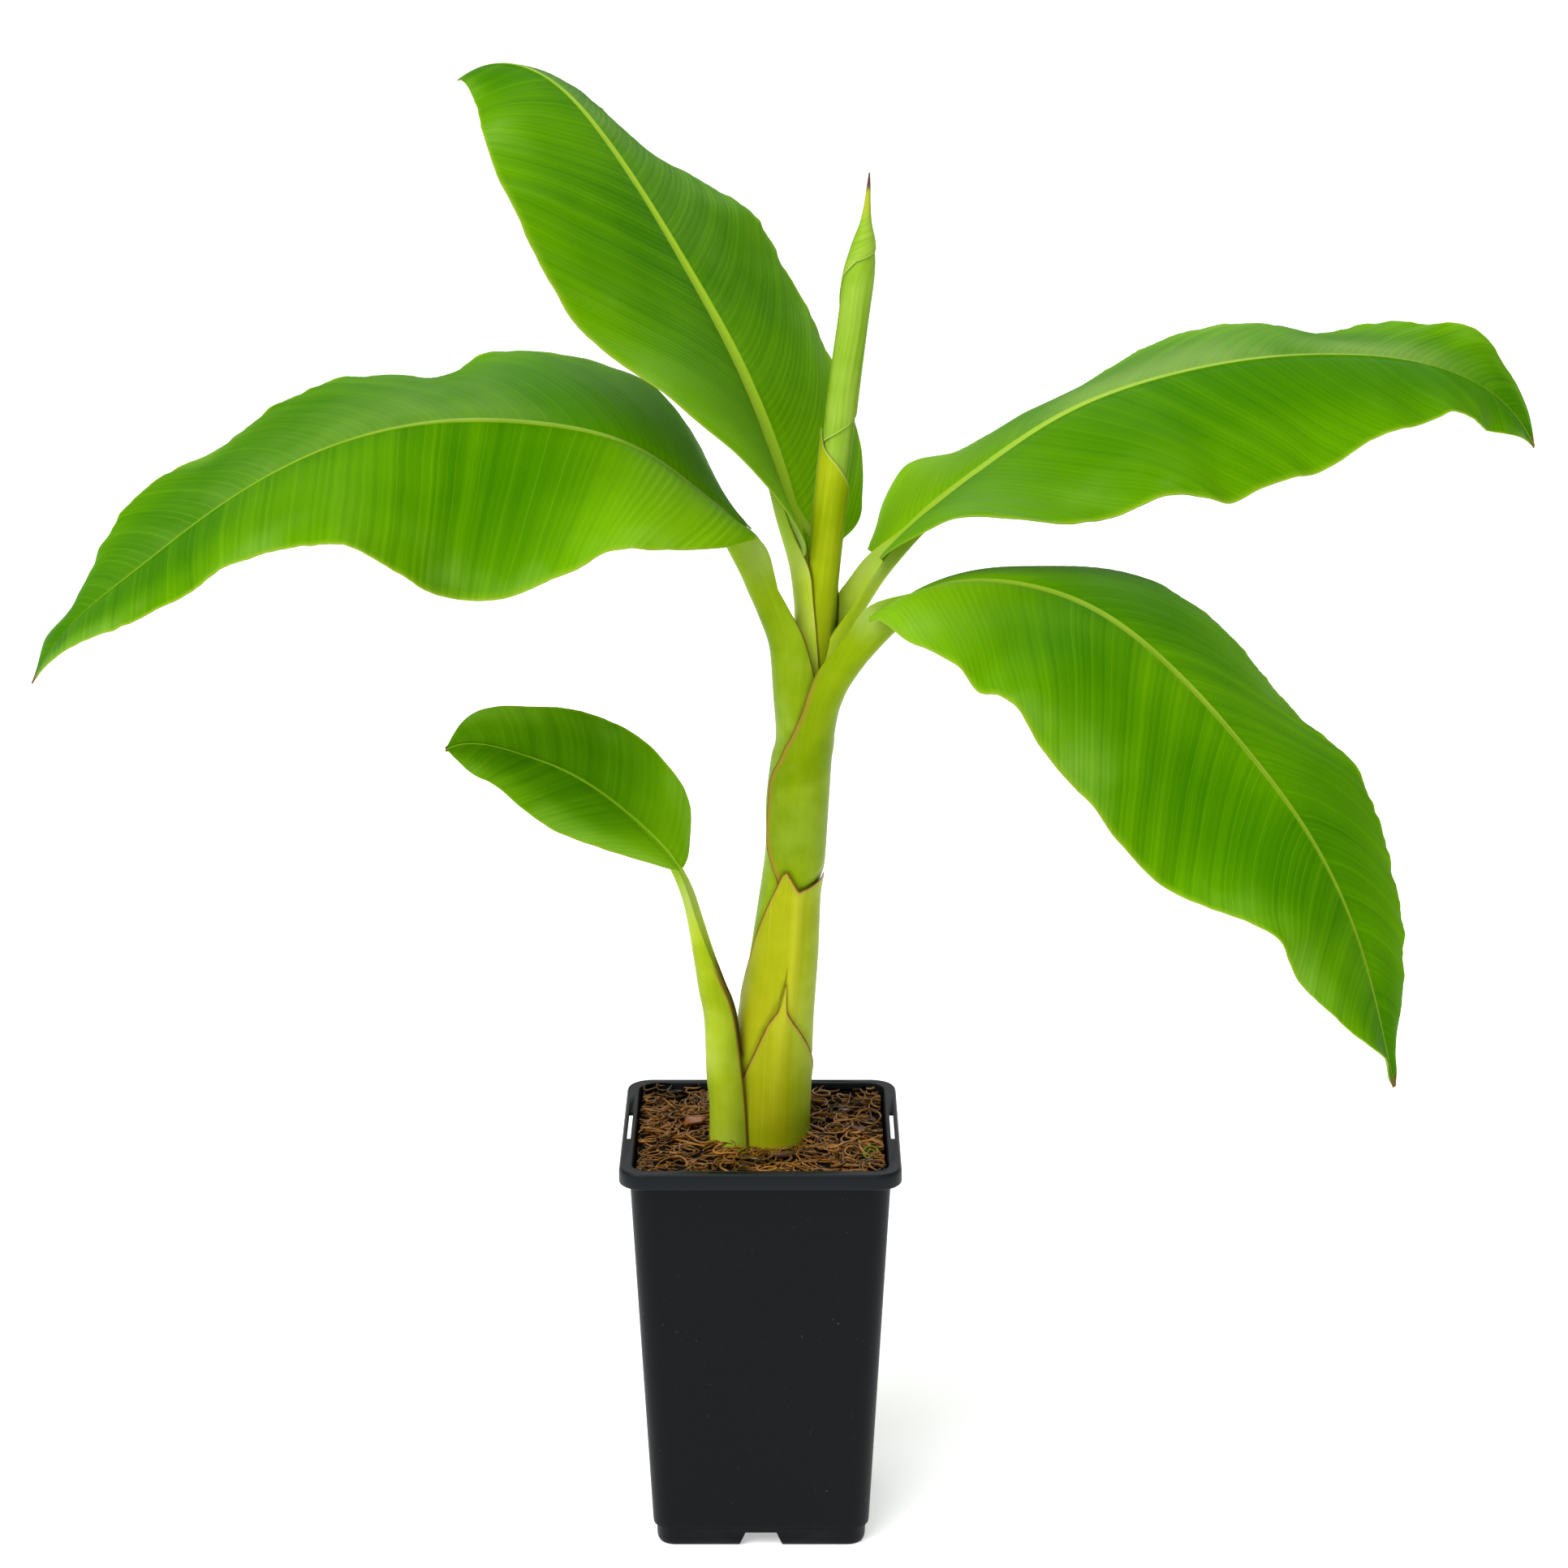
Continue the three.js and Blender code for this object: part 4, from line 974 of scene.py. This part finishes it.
def jitter(tree, place, **values):
    """A soft random push in every direction, of up to one half each way."""
    waves = tree.node("ShaderNodeTexNoise", None, {"Vector": place, **values}, output="Color")
    return tree.vectors("SUBTRACT", waves, (0.5, 0.5, 0.5))


# Shapes a strand may have: the share of the curl that it turns, and its rise by its length
STRAND_FORMS = ((0.3, 0.12), (0.55, 0.12), (0.8, 0.3), (1.0, 0.2), (1.5, 0.3))


def strand_bed(tree, geometry, density, length, thickness, curl, tilt, reach, bend, seed, finish):
    """Curled strands that lie in swirls, bent together by slow waves and kept within a square
    reach."""
    ring = tree.node("GeometryNodeCurvePrimitiveCircle", None, {"Resolution": 5, "Radius": thickness})
    variety = tree.node("GeometryNodeJoinGeometry")
    for turn, height in STRAND_FORMS:
        arc = tree.node("GeometryNodeCurveSpiral", None, {
            "Resolution": 20, "Rotations": curl * turn, "Start Radius": length * (0.5 / turn),
            "End Radius": length * 0.16, "Height": length * height,
        })
        tube = {"Curve": arc, "Profile Curve": ring, "Fill Caps": True}
        tube = tree.node("GeometryNodeCurveToMesh", None, tube)
        strand = tree.node("GeometryNodeGeometryToInstance", None, {0: tube})
        tree.tree.links.new(strand.socket, variety.made.inputs[0])
    place = tree.node("GeometryNodeInputPosition")
    spin = tree.chance((-math.pi, -math.pi, -0.7), (math.pi, math.pi, 0.7), seed)
    swirl = tree.vector(0.0, 0.0, tree.noise(34, 1, vector=place) * (6 * math.pi))
    turn = tree.vectors("ADD", tree.vectors("MULTIPLY", spin, tree.vector(tilt, tilt, 1.0)), swirl)
    loose = planted(tree, geometry, density, seed, variety, turn, 0.45, 1.25, pick=True)
    push = jitter(tree, place, Scale=62.0, Detail=1.0)
    bent = tree.vectors("ADD", place, tree.vectors("MULTIPLY", push, tree.vector(bend, bend, bend * 0.3)))
    low = tree.vectors("MAXIMUM", bent, tree.vector(reach * -1, reach * -1))
    kept = tree.vectors("MINIMUM", low, tree.vector(reach, reach, 1.0))
    return tree.moved(loose, Position=kept)


def chip_bed(tree, geometry, density, size, thickness, reach, seed, finish):
    """Flat flakes of bark within a square reach."""
    place = tree.node("GeometryNodeInputPosition")
    spot = tree.node("ShaderNodeSeparateXYZ", None, {0: place})
    outward = tree.math("MAXIMUM", abs(spot), abs(spot.also(1)))
    inner = tree.node("FunctionNodeCompare", {"operation": "LESS_THAN"}, {0: outward, 1: reach})
    flake = tree.node("GeometryNodeMeshCylinder", None, {"Vertices": 7, "Radius": size, "Depth": thickness})
    narrow = tree.node("GeometryNodeTransform", None, {"Geometry": flake, "Scale": (1.0, 0.5, 1.0)})
    rough = size * 0.9
    ragged = tree.vectors("MULTIPLY", jitter(tree, place, Scale=400.0), tree.vector(rough, rough, rough))
    flake = tree.moved(narrow, Offset=ragged)
    turn = tree.chance((-0.4, -0.4, 0), (0.4, 0.4, 6.3), seed)
    loose = planted(tree, geometry, density, seed, flake, turn, 0.4, 1.2, inner)
    return tree.moved(loose, Offset=tree.vector(0.0, 0.0, thickness))


def strewn(name, bed, sizes, material):
    """A bed of strands or flakes over the soil, as a piece of its own."""
    base = bpy.data.objects.new(name, soil.data.copy())
    scene.collection.objects.link(base)
    piece = grown(base, name, bed, {**sizes, "Finish": material})
    return seat(piece, "soil")


COARSE = {
    "Density": 15000.0, "Length": 0.019, "Thickness": 0.00062, "Curl": 1.5, "Tilt": 0.06, "Reach": 0.0665,
    "Bend": 0.013, "Seed": 3,
}
FINE = {
    "Density": 8000.0, "Length": 0.018, "Thickness": 0.0004, "Curl": 1.6, "Tilt": 0.1, "Reach": 0.067,
    "Bend": 0.012, "Seed": 11,
}
FLAKES = {"Density": 1600.0, "Size": 0.0058, "Thickness": 0.0011, "Reach": 0.058, "Seed": 21}
strewn("coir_strands", strand_bed, COARSE, COIR).data.shade_smooth()
strewn("coir_hairs", strand_bed, FINE, COIR).data.shade_smooth()
strewn("bark_flakes", chip_bed, FLAKES, BARK)


def make_chip(name, place, size, turn, tilt, material):
    """One larger flat piece of bark: a bevelled plate with a ragged outline."""
    chance = random.Random(len(name))
    angle = np.arange(10) * 2 * math.pi / 10
    reach = np.array([chance.uniform(0.75, 1.1) for _ in angle])
    across, high = size[1] / size[0], size[2] / size[0]
    outline = np.stack([reach * np.cos(angle), across * reach * np.sin(angle), 0 * angle], -1) * size[0] / 2
    heights = np.array([[0, 0, -0.5], [0, 0, -0.3], [0, 0, 0.3], [0, 0, 0.5]]) * high * size[0]
    rings = np.stack([outline * [k, k, 1] + h for k, h in zip((0.93, 1, 1, 0.93), heights)])
    c, s = math.cos(math.radians(turn)), math.sin(math.radians(turn))
    d, e = math.cos(math.radians(tilt)), math.sin(math.radians(tilt))
    lean = np.array([[1, 0, 0], [0, d, e], [0, -e, d]]) @ np.array([[c, s, 0], [-s, c, 0], [0, 0, 1]])
    shades = {"shade": np.full(rings.shape[:2], chance.uniform(0.6, 1.0))}
    seat(lofted(name, rings @ lean + np.array(place, float), [material], shades), "soil")


make_chip("chip_left", (-37, 15, 221.5), (15, 8, 1.8), 35, 20, ORANGE_BARK)
make_chip("chip_front", (-3, -42, 221), (13, 9, 1.6), -15, -12, BARK)
make_chip("chip_dark", (11, -35, 220.5), (16, 9, 2), 10, -10, PURPLE_BARK)


def make_sprout():
    """A small green spiral shoot that stands out of the soil."""
    middle, lean = np.array([59, -40, 223.0]), 0.9
    turn = np.linspace(0, 3.6 * math.pi, 60)
    reach = 4.6 - 3.9 * turn / turn[-1]
    rise = np.array([0, math.cos(lean), math.sin(lean)])
    outward = np.cos(turn)[:, None] * [1, 0, 0] + np.sin(turn)[:, None] * rise
    line = middle + reach[:, None] * outward
    around = np.linspace(0, 2 * math.pi, 8, endpoint=False)
    thick = 0.5 - 0.25 * turn / turn[-1]
    ring = outward[:, None] * np.cos(around)[:, None] + np.cross([1, 0, 0], rise) * np.sin(around)[:, None]
    rings = line[:, None] + ring * thick[:, None, None]
    seat(lofted("sprout", rings, [SPROUT], {"shade": np.full(rings.shape[:2], 0.7)}), "soil")


make_sprout()


def make_core():
    """The stem inside its sheaths, closed, with a faint fluting."""
    z = np.linspace(SOIL_TOP - BURIED, STEM["z"][-1], 90)
    centre, radius = stem_at(z)
    angle = np.linspace(0, 2 * math.pi, 72, endpoint=False)
    inside = 4.4 + 1.5 * soft_step(z, 430, 474)
    flutes, flute_depth = 9, 0.25
    reach = (radius - inside)[:, None] + flute_depth * np.cos(flutes * angle)
    return round_stem("stem_core", centre, reach, angle, 0.02)


seat(make_core(), "stem", "pseudostem")


def under(sheath, turn, z, depth):
    """How deep a surface round the stem lies at turns in degrees and heights, where a sheath
    covers it up to its slanting top."""
    first = sheath["angle"][0]
    top = np.interp((turn - first) % 360 + first, sheath["angle"], sheath["top"], right=sheath["top"][0] - 30)
    return depth * soft_step(top + 4 - z, -6, 6)


# Thickness of a sheath or stalk at its very edge, and of the wall of an old sheath
THIN_EDGE = 0.35
OLD_WALL = 1.2


def make_sheath(name, sheath, over=None):
    """An old sheath: an open tube with a slanting, pointed top, a ridge and thin edges."""
    angle = np.arange(sheath["angle"][0], sheath["angle"][-1] + 0.1, 1.5)
    rows = 70
    share = np.linspace(0, 1, rows)
    top = np.interp(angle, sheath["angle"], sheath["top"])
    top = np.convolve(np.pad(top, 1, mode="edge"), [0.2, 0.6, 0.2], mode="valid")
    foot = SOIL_TOP - BURIED
    z = foot + (top[:, None] - foot) * share
    centre, radius = stem_at(z)
    slope = np.clip(np.gradient(top, np.radians(angle) * radius[:, -1]), -2, 2)[:, None]
    below = (top[:, None] - z) / np.sqrt(1 + slope ** 2)
    usual_radius = 20
    side = np.minimum(angle - angle[0], angle[-1] - angle)[:, None] * (math.pi / 180) * usual_radius
    edge = np.minimum(below, side)
    ridge = np.exp(-(((angle - sheath["ridge"]) / 9) ** 2))[:, None] * soft_step(z, 215, 300)
    flare = 0.9 * np.exp(-below / 4) + 0.5 * np.exp(-side / 3)
    depth = under(over, angle[:, None], z, 1.6) if over else 0
    outer = radius - 0.4 - depth + 0.9 * ridge + flare
    inner = outer - (THIN_EDGE + (OLD_WALL - THIN_EDGE) * np.clip(edge / 9, 0, 1))
    turn = np.radians(angle)[:, None]
    both = {
        "edge": edge * MM, "around": turn * 0.02, "length": z * MM, "ridge": ridge,
        "right": soft_step(angle - sheath["ridge"], -6, 44)[:, None],
    }
    outer, inner = centre + level(outer, turn), centre + level(inner, turn)
    return shell(name, outer, inner, [OLD_SHEATH], both)


seat(make_sheath("upper_old_sheath", UPPER_SHEATH, over=LOWER_SHEATH), "old_sheath", "upper_sheath")
seat(make_sheath("lower_old_sheath", LOWER_SHEATH), "old_sheath", "lower_sheath")


def stalk_rows(stalk):
    """Rows of a stalk from its sheath to the tip of its midrib, as in its path, with
    how far each is a sheath and how far it is a midrib."""
    path = np.column_stack([np.array(stalk["path"], float), np.zeros(len(stalk["path"]))])
    clasp = stalk.get("clasp")
    if clasp:
        z = np.array(sorted({*clasp["z"], 260, 300}), float)
        centre, radius = stem_at(z)
        left, right, inset = (np.interp(z, clasp["z"], clasp[key]) for key in ("left", "right", "inset"))
        rest = np.tile([1.2, 0, 0, 0, 1], (len(z), 1))
        path = np.vstack([np.column_stack([centre, radius - inset, left, right, rest]), path])
    lower = steady(path, STALK_STEP)
    leaf = LEAVES[stalk["leaf"]]
    share = np.append(np.arange(stalk["join"], 1.0, STALK_STEP / leaf["length"]), 1.0)
    rib, (_, _, above) = rib_of(leaf, share)
    radius = rib_radius(stalk, share)
    stand = radius * 0.9 * (1 - share) ** 0.6
    flat = np.full(len(share), 90.0)
    none = np.zeros(len(share))
    upper = np.column_stack([
        rib - above * stand[:, None], radius, flat, flat, radius * 0.8, stand, stand, none, none,
    ])
    rows = np.vstack([lower, upper])
    ribbed = np.concatenate([np.zeros(len(lower)), np.ones(len(upper))])
    rows = np.column_stack([rows, ribbed])
    # The rows are evened out where the stalk goes over into the midrib
    smooth = rows.copy()
    reach = 4
    for i in range(len(lower) - 2 * reach, len(lower) + 2 * reach):
        near = rows[max(0, i - reach):i + reach + 1]
        weight = np.exp(-0.5 * ((np.arange(len(near)) - len(near) / 2 + 0.5) / (reach / 2)) ** 2)
        smooth[i] = (near * weight[:, None]).sum(0) / weight.sum()
    return smooth


def make_stalk(name, stalk, material, roll):
    """A stalk with its midrib as one channel. roll thickens its margins."""
    rows = stalk_rows(stalk)
    centre = rows[:, :3]
    radius, wrap_left, wrap_right, wall, stand_left, stand_right, lean, sheath, ribbed = (
        rows[:, k][:, None] for k in range(3, 12)
    )
    run = np.gradient(centre, axis=0)
    run /= np.linalg.norm(run, axis=1)[:, None]
    _, left, _ = directions(stalk["heading"], np.zeros(len(rows)))
    above = np.cross(run, left)
    above /= np.linalg.norm(above, axis=1)[:, None]
    left = np.cross(above, run)
    above = above * np.cos(np.radians(lean)) + run * np.sin(np.radians(lean))
    t = np.linspace(-1, 1, 41)[None, :]
    wrap = np.where(t < 0, wrap_right, wrap_left)
    angle = np.radians(t * wrap)
    edge = (1 - np.abs(t)) * radius * np.radians(wrap)
    stand = np.where(t < 0, stand_right, stand_left)
    lift = stand * soft_step(np.abs(t), 0.4, 1.0)
    hidden = under(UPPER_SHEATH, stalk["heading"] + np.degrees(angle), centre[:, 2:], SHEATH_DEPTH)
    body = radius - hidden * sheath + roll * np.exp(-((edge / 1.8) ** 2)) * (1 - ribbed)
    thick = THIN_EDGE + (wall - THIN_EDGE) * (1 - np.abs(t) ** 2.5)
    thick = thick * (1 - ribbed) + np.minimum(1.1, radius * 0.4) * ribbed

    def face(across, up):
        """Points at distances to the left of the stalk's line and above it."""
        line = centre[:, None, :]
        return line + left[:, None, :] * across[..., None] + above[:, None, :] * up[..., None]

    outer = face(body * np.sin(angle), lift - body * np.cos(angle))
    bore = radius - hidden * sheath - thick
    channel = face(bore * np.sin(angle), lift - bore * np.cos(angle))
    width = bore * np.sin(np.radians(wrap))
    brim = stand - bore * np.cos(np.radians(wrap))
    groove_share = 0.16
    groove = groove_share * radius * (1 - t ** 2)
    filled = face(width * t, brim - groove)
    fill = soft_step(ribbed, 0.0, 1.0)[..., None]
    inner = channel * (1 - fill) + filled * fill
    length = np.concatenate([[0], np.cumsum(np.linalg.norm(np.diff(centre, axis=0), axis=1))])
    dry = soft_step(stalk["dry_top"] + 8 - centre[:, 2:], 0, 16) * (1 - ribbed)
    joined = length[np.argmax(ribbed[:, 0] > 0.5)]
    top = soft_step(length[:, None], joined - 34, joined - 8)
    both = {
        "edge": edge * MM, "around": radius * angle * MM, "length": length[:, None] * MM, "midrib": ribbed,
        "dry": dry, "wing": soft_step(np.abs(t), 0.3, 0.9) * top * (1 - ribbed),
    }
    inside = {"inside": np.concatenate([np.zeros_like(edge), np.ones_like(edge)], 1)}
    return shell(name, outer, inner, [material], both, inside)


# Finish of each stalk and how much its margins are rolled
STALK_SKIN = {
    "petiole_left": (STALK, 0.25),
    "petiole_upright": (YOUNG_STALK_PAINTED_LIGHT, 0.25),
    "petiole_right_upper": (YOUNG_STALK_PAINTED_LIGHT, 0.25),
    "petiole_right_lower": (ROLLED_STALK, 0.8),
    "sucker_petiole": (SUCKER_STALK, 0.25),
}
for name, stalk in STALKS.items():
    seat(make_stalk(name + "_channel", stalk, *STALK_SKIN[name]), "petiole", name)


def make_sucker_core():
    """The next rolled leaf inside the sucker's sheath."""
    rows = steady(np.array(STALKS["sucker_petiole"]["path"])[:6, :4], STALK_STEP)
    angle = np.linspace(0, 2 * math.pi, 36, endpoint=False)
    wall, gap = 1.7, 0.2
    narrower = 1 - soft_step(rows[:, 2], 296, 310) * 0.6
    reach = ((rows[:, 3] - wall - gap) * narrower)[:, None] + 0 * angle
    return round_stem("sucker_core", rows[:, :3], reach, angle, 0.01)


seat(make_sucker_core(), "stem", "sucker_stem")


def pleats(tree, geometry, depth, width, wave, wave_length, seed):
    """Folds along the side veins, and small waves that grow towards the margin."""
    names = ("vein", "out", "share")
    vein, out, share = (tree.node("GeometryNodeInputNamedAttribute", None, {"Name": name}) for name in names)
    far = abs(out)
    fold = abs(tree.math("SINE", vein * math.pi / width)) - 0.5
    uneven = tree.noise_of(vein + seed, 60, 2)
    fade = tree.smooth(far, 0.06, 0.3) * tree.smooth(far, 1.0, 0.9) * tree.smooth(share, 0.99, 0.9)
    folds = fold * depth * (uneven + 0.25) * fade
    broad = tree.noise_of(vein + out * BROAD_FOLD + seed, 1 / BROAD_FOLD, 1) - 0.5
    broad = broad * depth * 3 * tree.smooth(far, 0.1, 0.6) * fade
    other_half = tree.smooth(out, -0.01, 0.01) * 37
    ruffle = (tree.noise_of(vein / wave_length + other_half + seed, 1.0, 2) - 0.5) * wave
    ruffle = ruffle * far ** 4.0 * tree.smooth(share, 0.99, 0.85)
    push = {0: tree.node("GeometryNodeInputNormal"), "Scale": folds + broad + ruffle}
    return tree.moved(geometry, Offset=tree.node("ShaderNodeVectorMath", {"operation": "SCALE"}, push))


def make_blade(name, leaf, stalk, stations, columns, scale=1.0):
    """Both halves of a blade as one thin solid, seated in the walls of its midrib."""
    share = np.linspace(leaf["foot"], 1, stations)
    rib, (_, left, above) = rib_of(leaf, share)
    seated = (rib_radius(stalk, share) - 0.45)[:, None]
    points, faces, attributes = [], [], {"vein": [], "out": [], "share": [], "sheen": [], "lush": []}
    for half, (side, hand) in enumerate(((1, "left"), (-1, "right"))):
        swell = humps(leaf["swell_" + hand], share) * soft_step(1 - share, 0, 0.04)
        width = np.maximum((half_width(leaf, share) + swell)[:, None], seated + 0.4)
        t = np.linspace(0, 1, columns)[None, :] ** 1.15
        out = (seated + (width - seated) * t) / width
        curl = leaf["curl"][half] * np.exp(-share / leaf["curl"][2])
        lift = np.radians(along(leaf["lift_" + hand], share) + curl)[:, None]
        wave = humps(leaf["ripples_" + hand], share)[:, None]
        rise = 4 * BLADE["bulge"] * width * out * (1 - out) + wave * out ** 2
        free = np.clip((out * width - seated) / 6, 0, 1)
        rise = rise * free
        reach = out * width
        across = side * (reach * np.cos(lift) - rise * np.sin(lift))
        up = (reach - seated) * np.sin(lift) + rise * np.cos(lift)
        place = rib[:, None, :] + left[:, None, :] * across[..., None] + above[:, None, :] * up[..., None]
        first = sum(len(p) for p in points)
        r, c = np.meshgrid(np.arange(stations - 1), np.arange(columns - 1), indexing="ij")
        a = first + r * columns + c
        quads = np.stack([a, a + columns, a + columns + 1, a + 1], -1).reshape(-1, 4)
        faces.append(quads if side == 1 else quads[:, ::-1])
        points.append(place.reshape(-1, 3))
        slant = width * leaf["slant"][half] * (0.35 * out + 0.3 * out ** 2)
        attributes["vein"].append(((share[:, None] * leaf["length"] - slant) * MM).ravel())
        attributes["out"].append((side * out).ravel())
        attributes["share"].append(np.broadcast_to(share[:, None], out.shape).ravel())
        # Each half's share of painted reflection, and how fresh its green is
        for label in ("sheen", "lush"):
            attributes[label].append(np.full(out.size, leaf[label][half]))
    points, faces = np.concatenate(points), np.concatenate(faces)
    normal = np.cross(points[faces[0, 1]] - points[faces[0, 0]], points[faces[0, 3]] - points[faces[0, 0]])
    if normal @ above[0] < 0:
        faces = faces[:, ::-1]
    attributes = {label: np.concatenate(values) for label, values in attributes.items()}
    finishes = [SUCKER_TOP, LEAF_UNDER] if name == "sucker_leaf" else [LEAF_TOP, LEAF_UNDER]
    piece = mesh_piece(name + "_blade", points, faces, finishes, attributes, sharp=180)
    sizes = {label: size * scale for label, size in PLEATS.items()}
    grown(piece, "pleats", pleats, {**sizes, "Seed": 1 + len(name)})
    solid = piece.modifiers.new("thickness", "SOLIDIFY")
    solid.thickness = BLADE_THICKNESS
    solid.offset = -1
    solid.material_offset = 1
    result_of(piece)
    piece.data.shade_smooth()
    piece.data.set_sharp_from_angle(angle=math.radians(50))
    return piece


# Rows along and across half a blade, and the size of its folds
LARGE_BLADE = dict(stations=400, columns=36)
SMALL_BLADE = dict(stations=150, columns=26, scale=0.5)
for name, leaf in LEAVES.items():
    stalk = next(entry for entry in STALKS.values() if entry["leaf"] == name)
    small = name == "sucker_leaf"
    blade = make_blade(name, leaf, stalk, **(SMALL_BLADE if small else LARGE_BLADE))
    seat(blade, "sucker_leaf" if small else "leaf", *LEAF_PIECES[name])


def make_spear():
    """The rolled leaf: a tapering roll whose free edge winds round it."""
    rows = steady(SPEAR["path"], 1.0)
    centre, radius = rows[:, :3], rows[:, 3][:, None]
    turn = np.radians(np.interp(rows[:, 2], SPEAR["edge_z"], SPEAR["edge_turn"]))[:, None]
    t = np.linspace(0, 1, 64)[None, :]
    angle = turn + 2 * math.pi * t
    reach = np.maximum(radius * (1 - 0.055 * (1 - t)) - 0.3 * (1 - t), 0.25)
    attributes = {
        "length": rows[:, 2:3] * MM + 0 * t, "around": reach * angle * MM,
        "edge": (1 - t) * radius * 2 * math.pi * MM,
    }
    return lofted("spear_roll", centre[:, None, :] + level(reach, angle), [SPEAR_ROLL], attributes, sharp=50)


def make_spear_wrap():
    """The wrap round the foot of the rolled leaf, with its slanting top edge."""
    angle = np.arange(SPEAR_WRAP["angle"][0], SPEAR_WRAP["angle"][-1] + 0.1, 3.0)
    top = np.interp(angle, SPEAR_WRAP["angle"], SPEAR_WRAP["top"])
    share = np.linspace(0, 1, 50)
    z = WRAP_FOOT + (top[:, None] - WRAP_FOOT) * share
    line = steady(np.array(SPEAR["path"]), 1.0)
    x, y, radius = (np.interp(z, line[:, 2], line[:, k]) for k in (0, 1, 3))
    centre = np.stack([x, y, z], -1)
    below = top[:, None] - z
    turn = np.radians(angle)[:, None]
    over = 0.5 * (turn - turn[0]) / (2 * math.pi)
    outer = radius + 0.75 + over + 0.25 * np.exp(-below / 3)
    inner = outer - 0.45
    edge = np.minimum(below, (angle[-1] - angle)[:, None] * 0.14)
    both = {"length": z * MM, "around": radius * turn * MM, "edge": edge * MM}
    outer, inner = centre + level(outer, turn), centre + level(inner, turn)
    return shell("spear_wrap", outer, inner, [SPEAR_SHEATH], both, sharp=50)


seat(make_spear(), "spear", "spear_leaf")
seat(make_spear_wrap(), "spear", "spear_foot")


def make_floor():
    reach = 40000
    corners = [[-reach, -reach, 0], [reach, -reach, 0], [reach, reach, 0], [-reach, reach, 0]]
    floor = mesh_piece("floor", corners, [[0, 1, 2, 3]], [FLOOR])


def light(name, kind, power, turn, place=(0, 0, 0), **sizes):
    """A lamp or a sun, turned by its angles."""
    holder = bpy.data.objects.new(name, bpy.data.lights.new(name, kind))
    holder.data.energy = power
    for label, size in sizes.items():
        setattr(holder.data, label, size)
    holder.location, holder.rotation_euler = place, turn
    scene.collection.objects.link(holder)


make_floor()

# The soft lamp behind the plant faces the point AIM
LAMP = (0.2, 1.7, 2.0)
AIM = (0, 0, 0.5)
x, y, z = (a - b for a, b in zip(LAMP, AIM))
light("back softbox", "AREA", 18, (math.atan2(math.hypot(x, y), z), 0, math.atan2(x, -y)), LAMP, size=1.8)
light("key", "SUN", 3.3, (math.radians(38), 0, math.radians(-38)), angle=math.radians(50))

world = bpy.data.worlds.new("studio")
world.use_nodes = True
world.node_tree.nodes["Background"].inputs["Color"].default_value = (1, 1, 1, 1)
world.node_tree.nodes["Background"].inputs["Strength"].default_value = 0.34
scene.world = world
scene.view_settings.view_transform = "Standard"
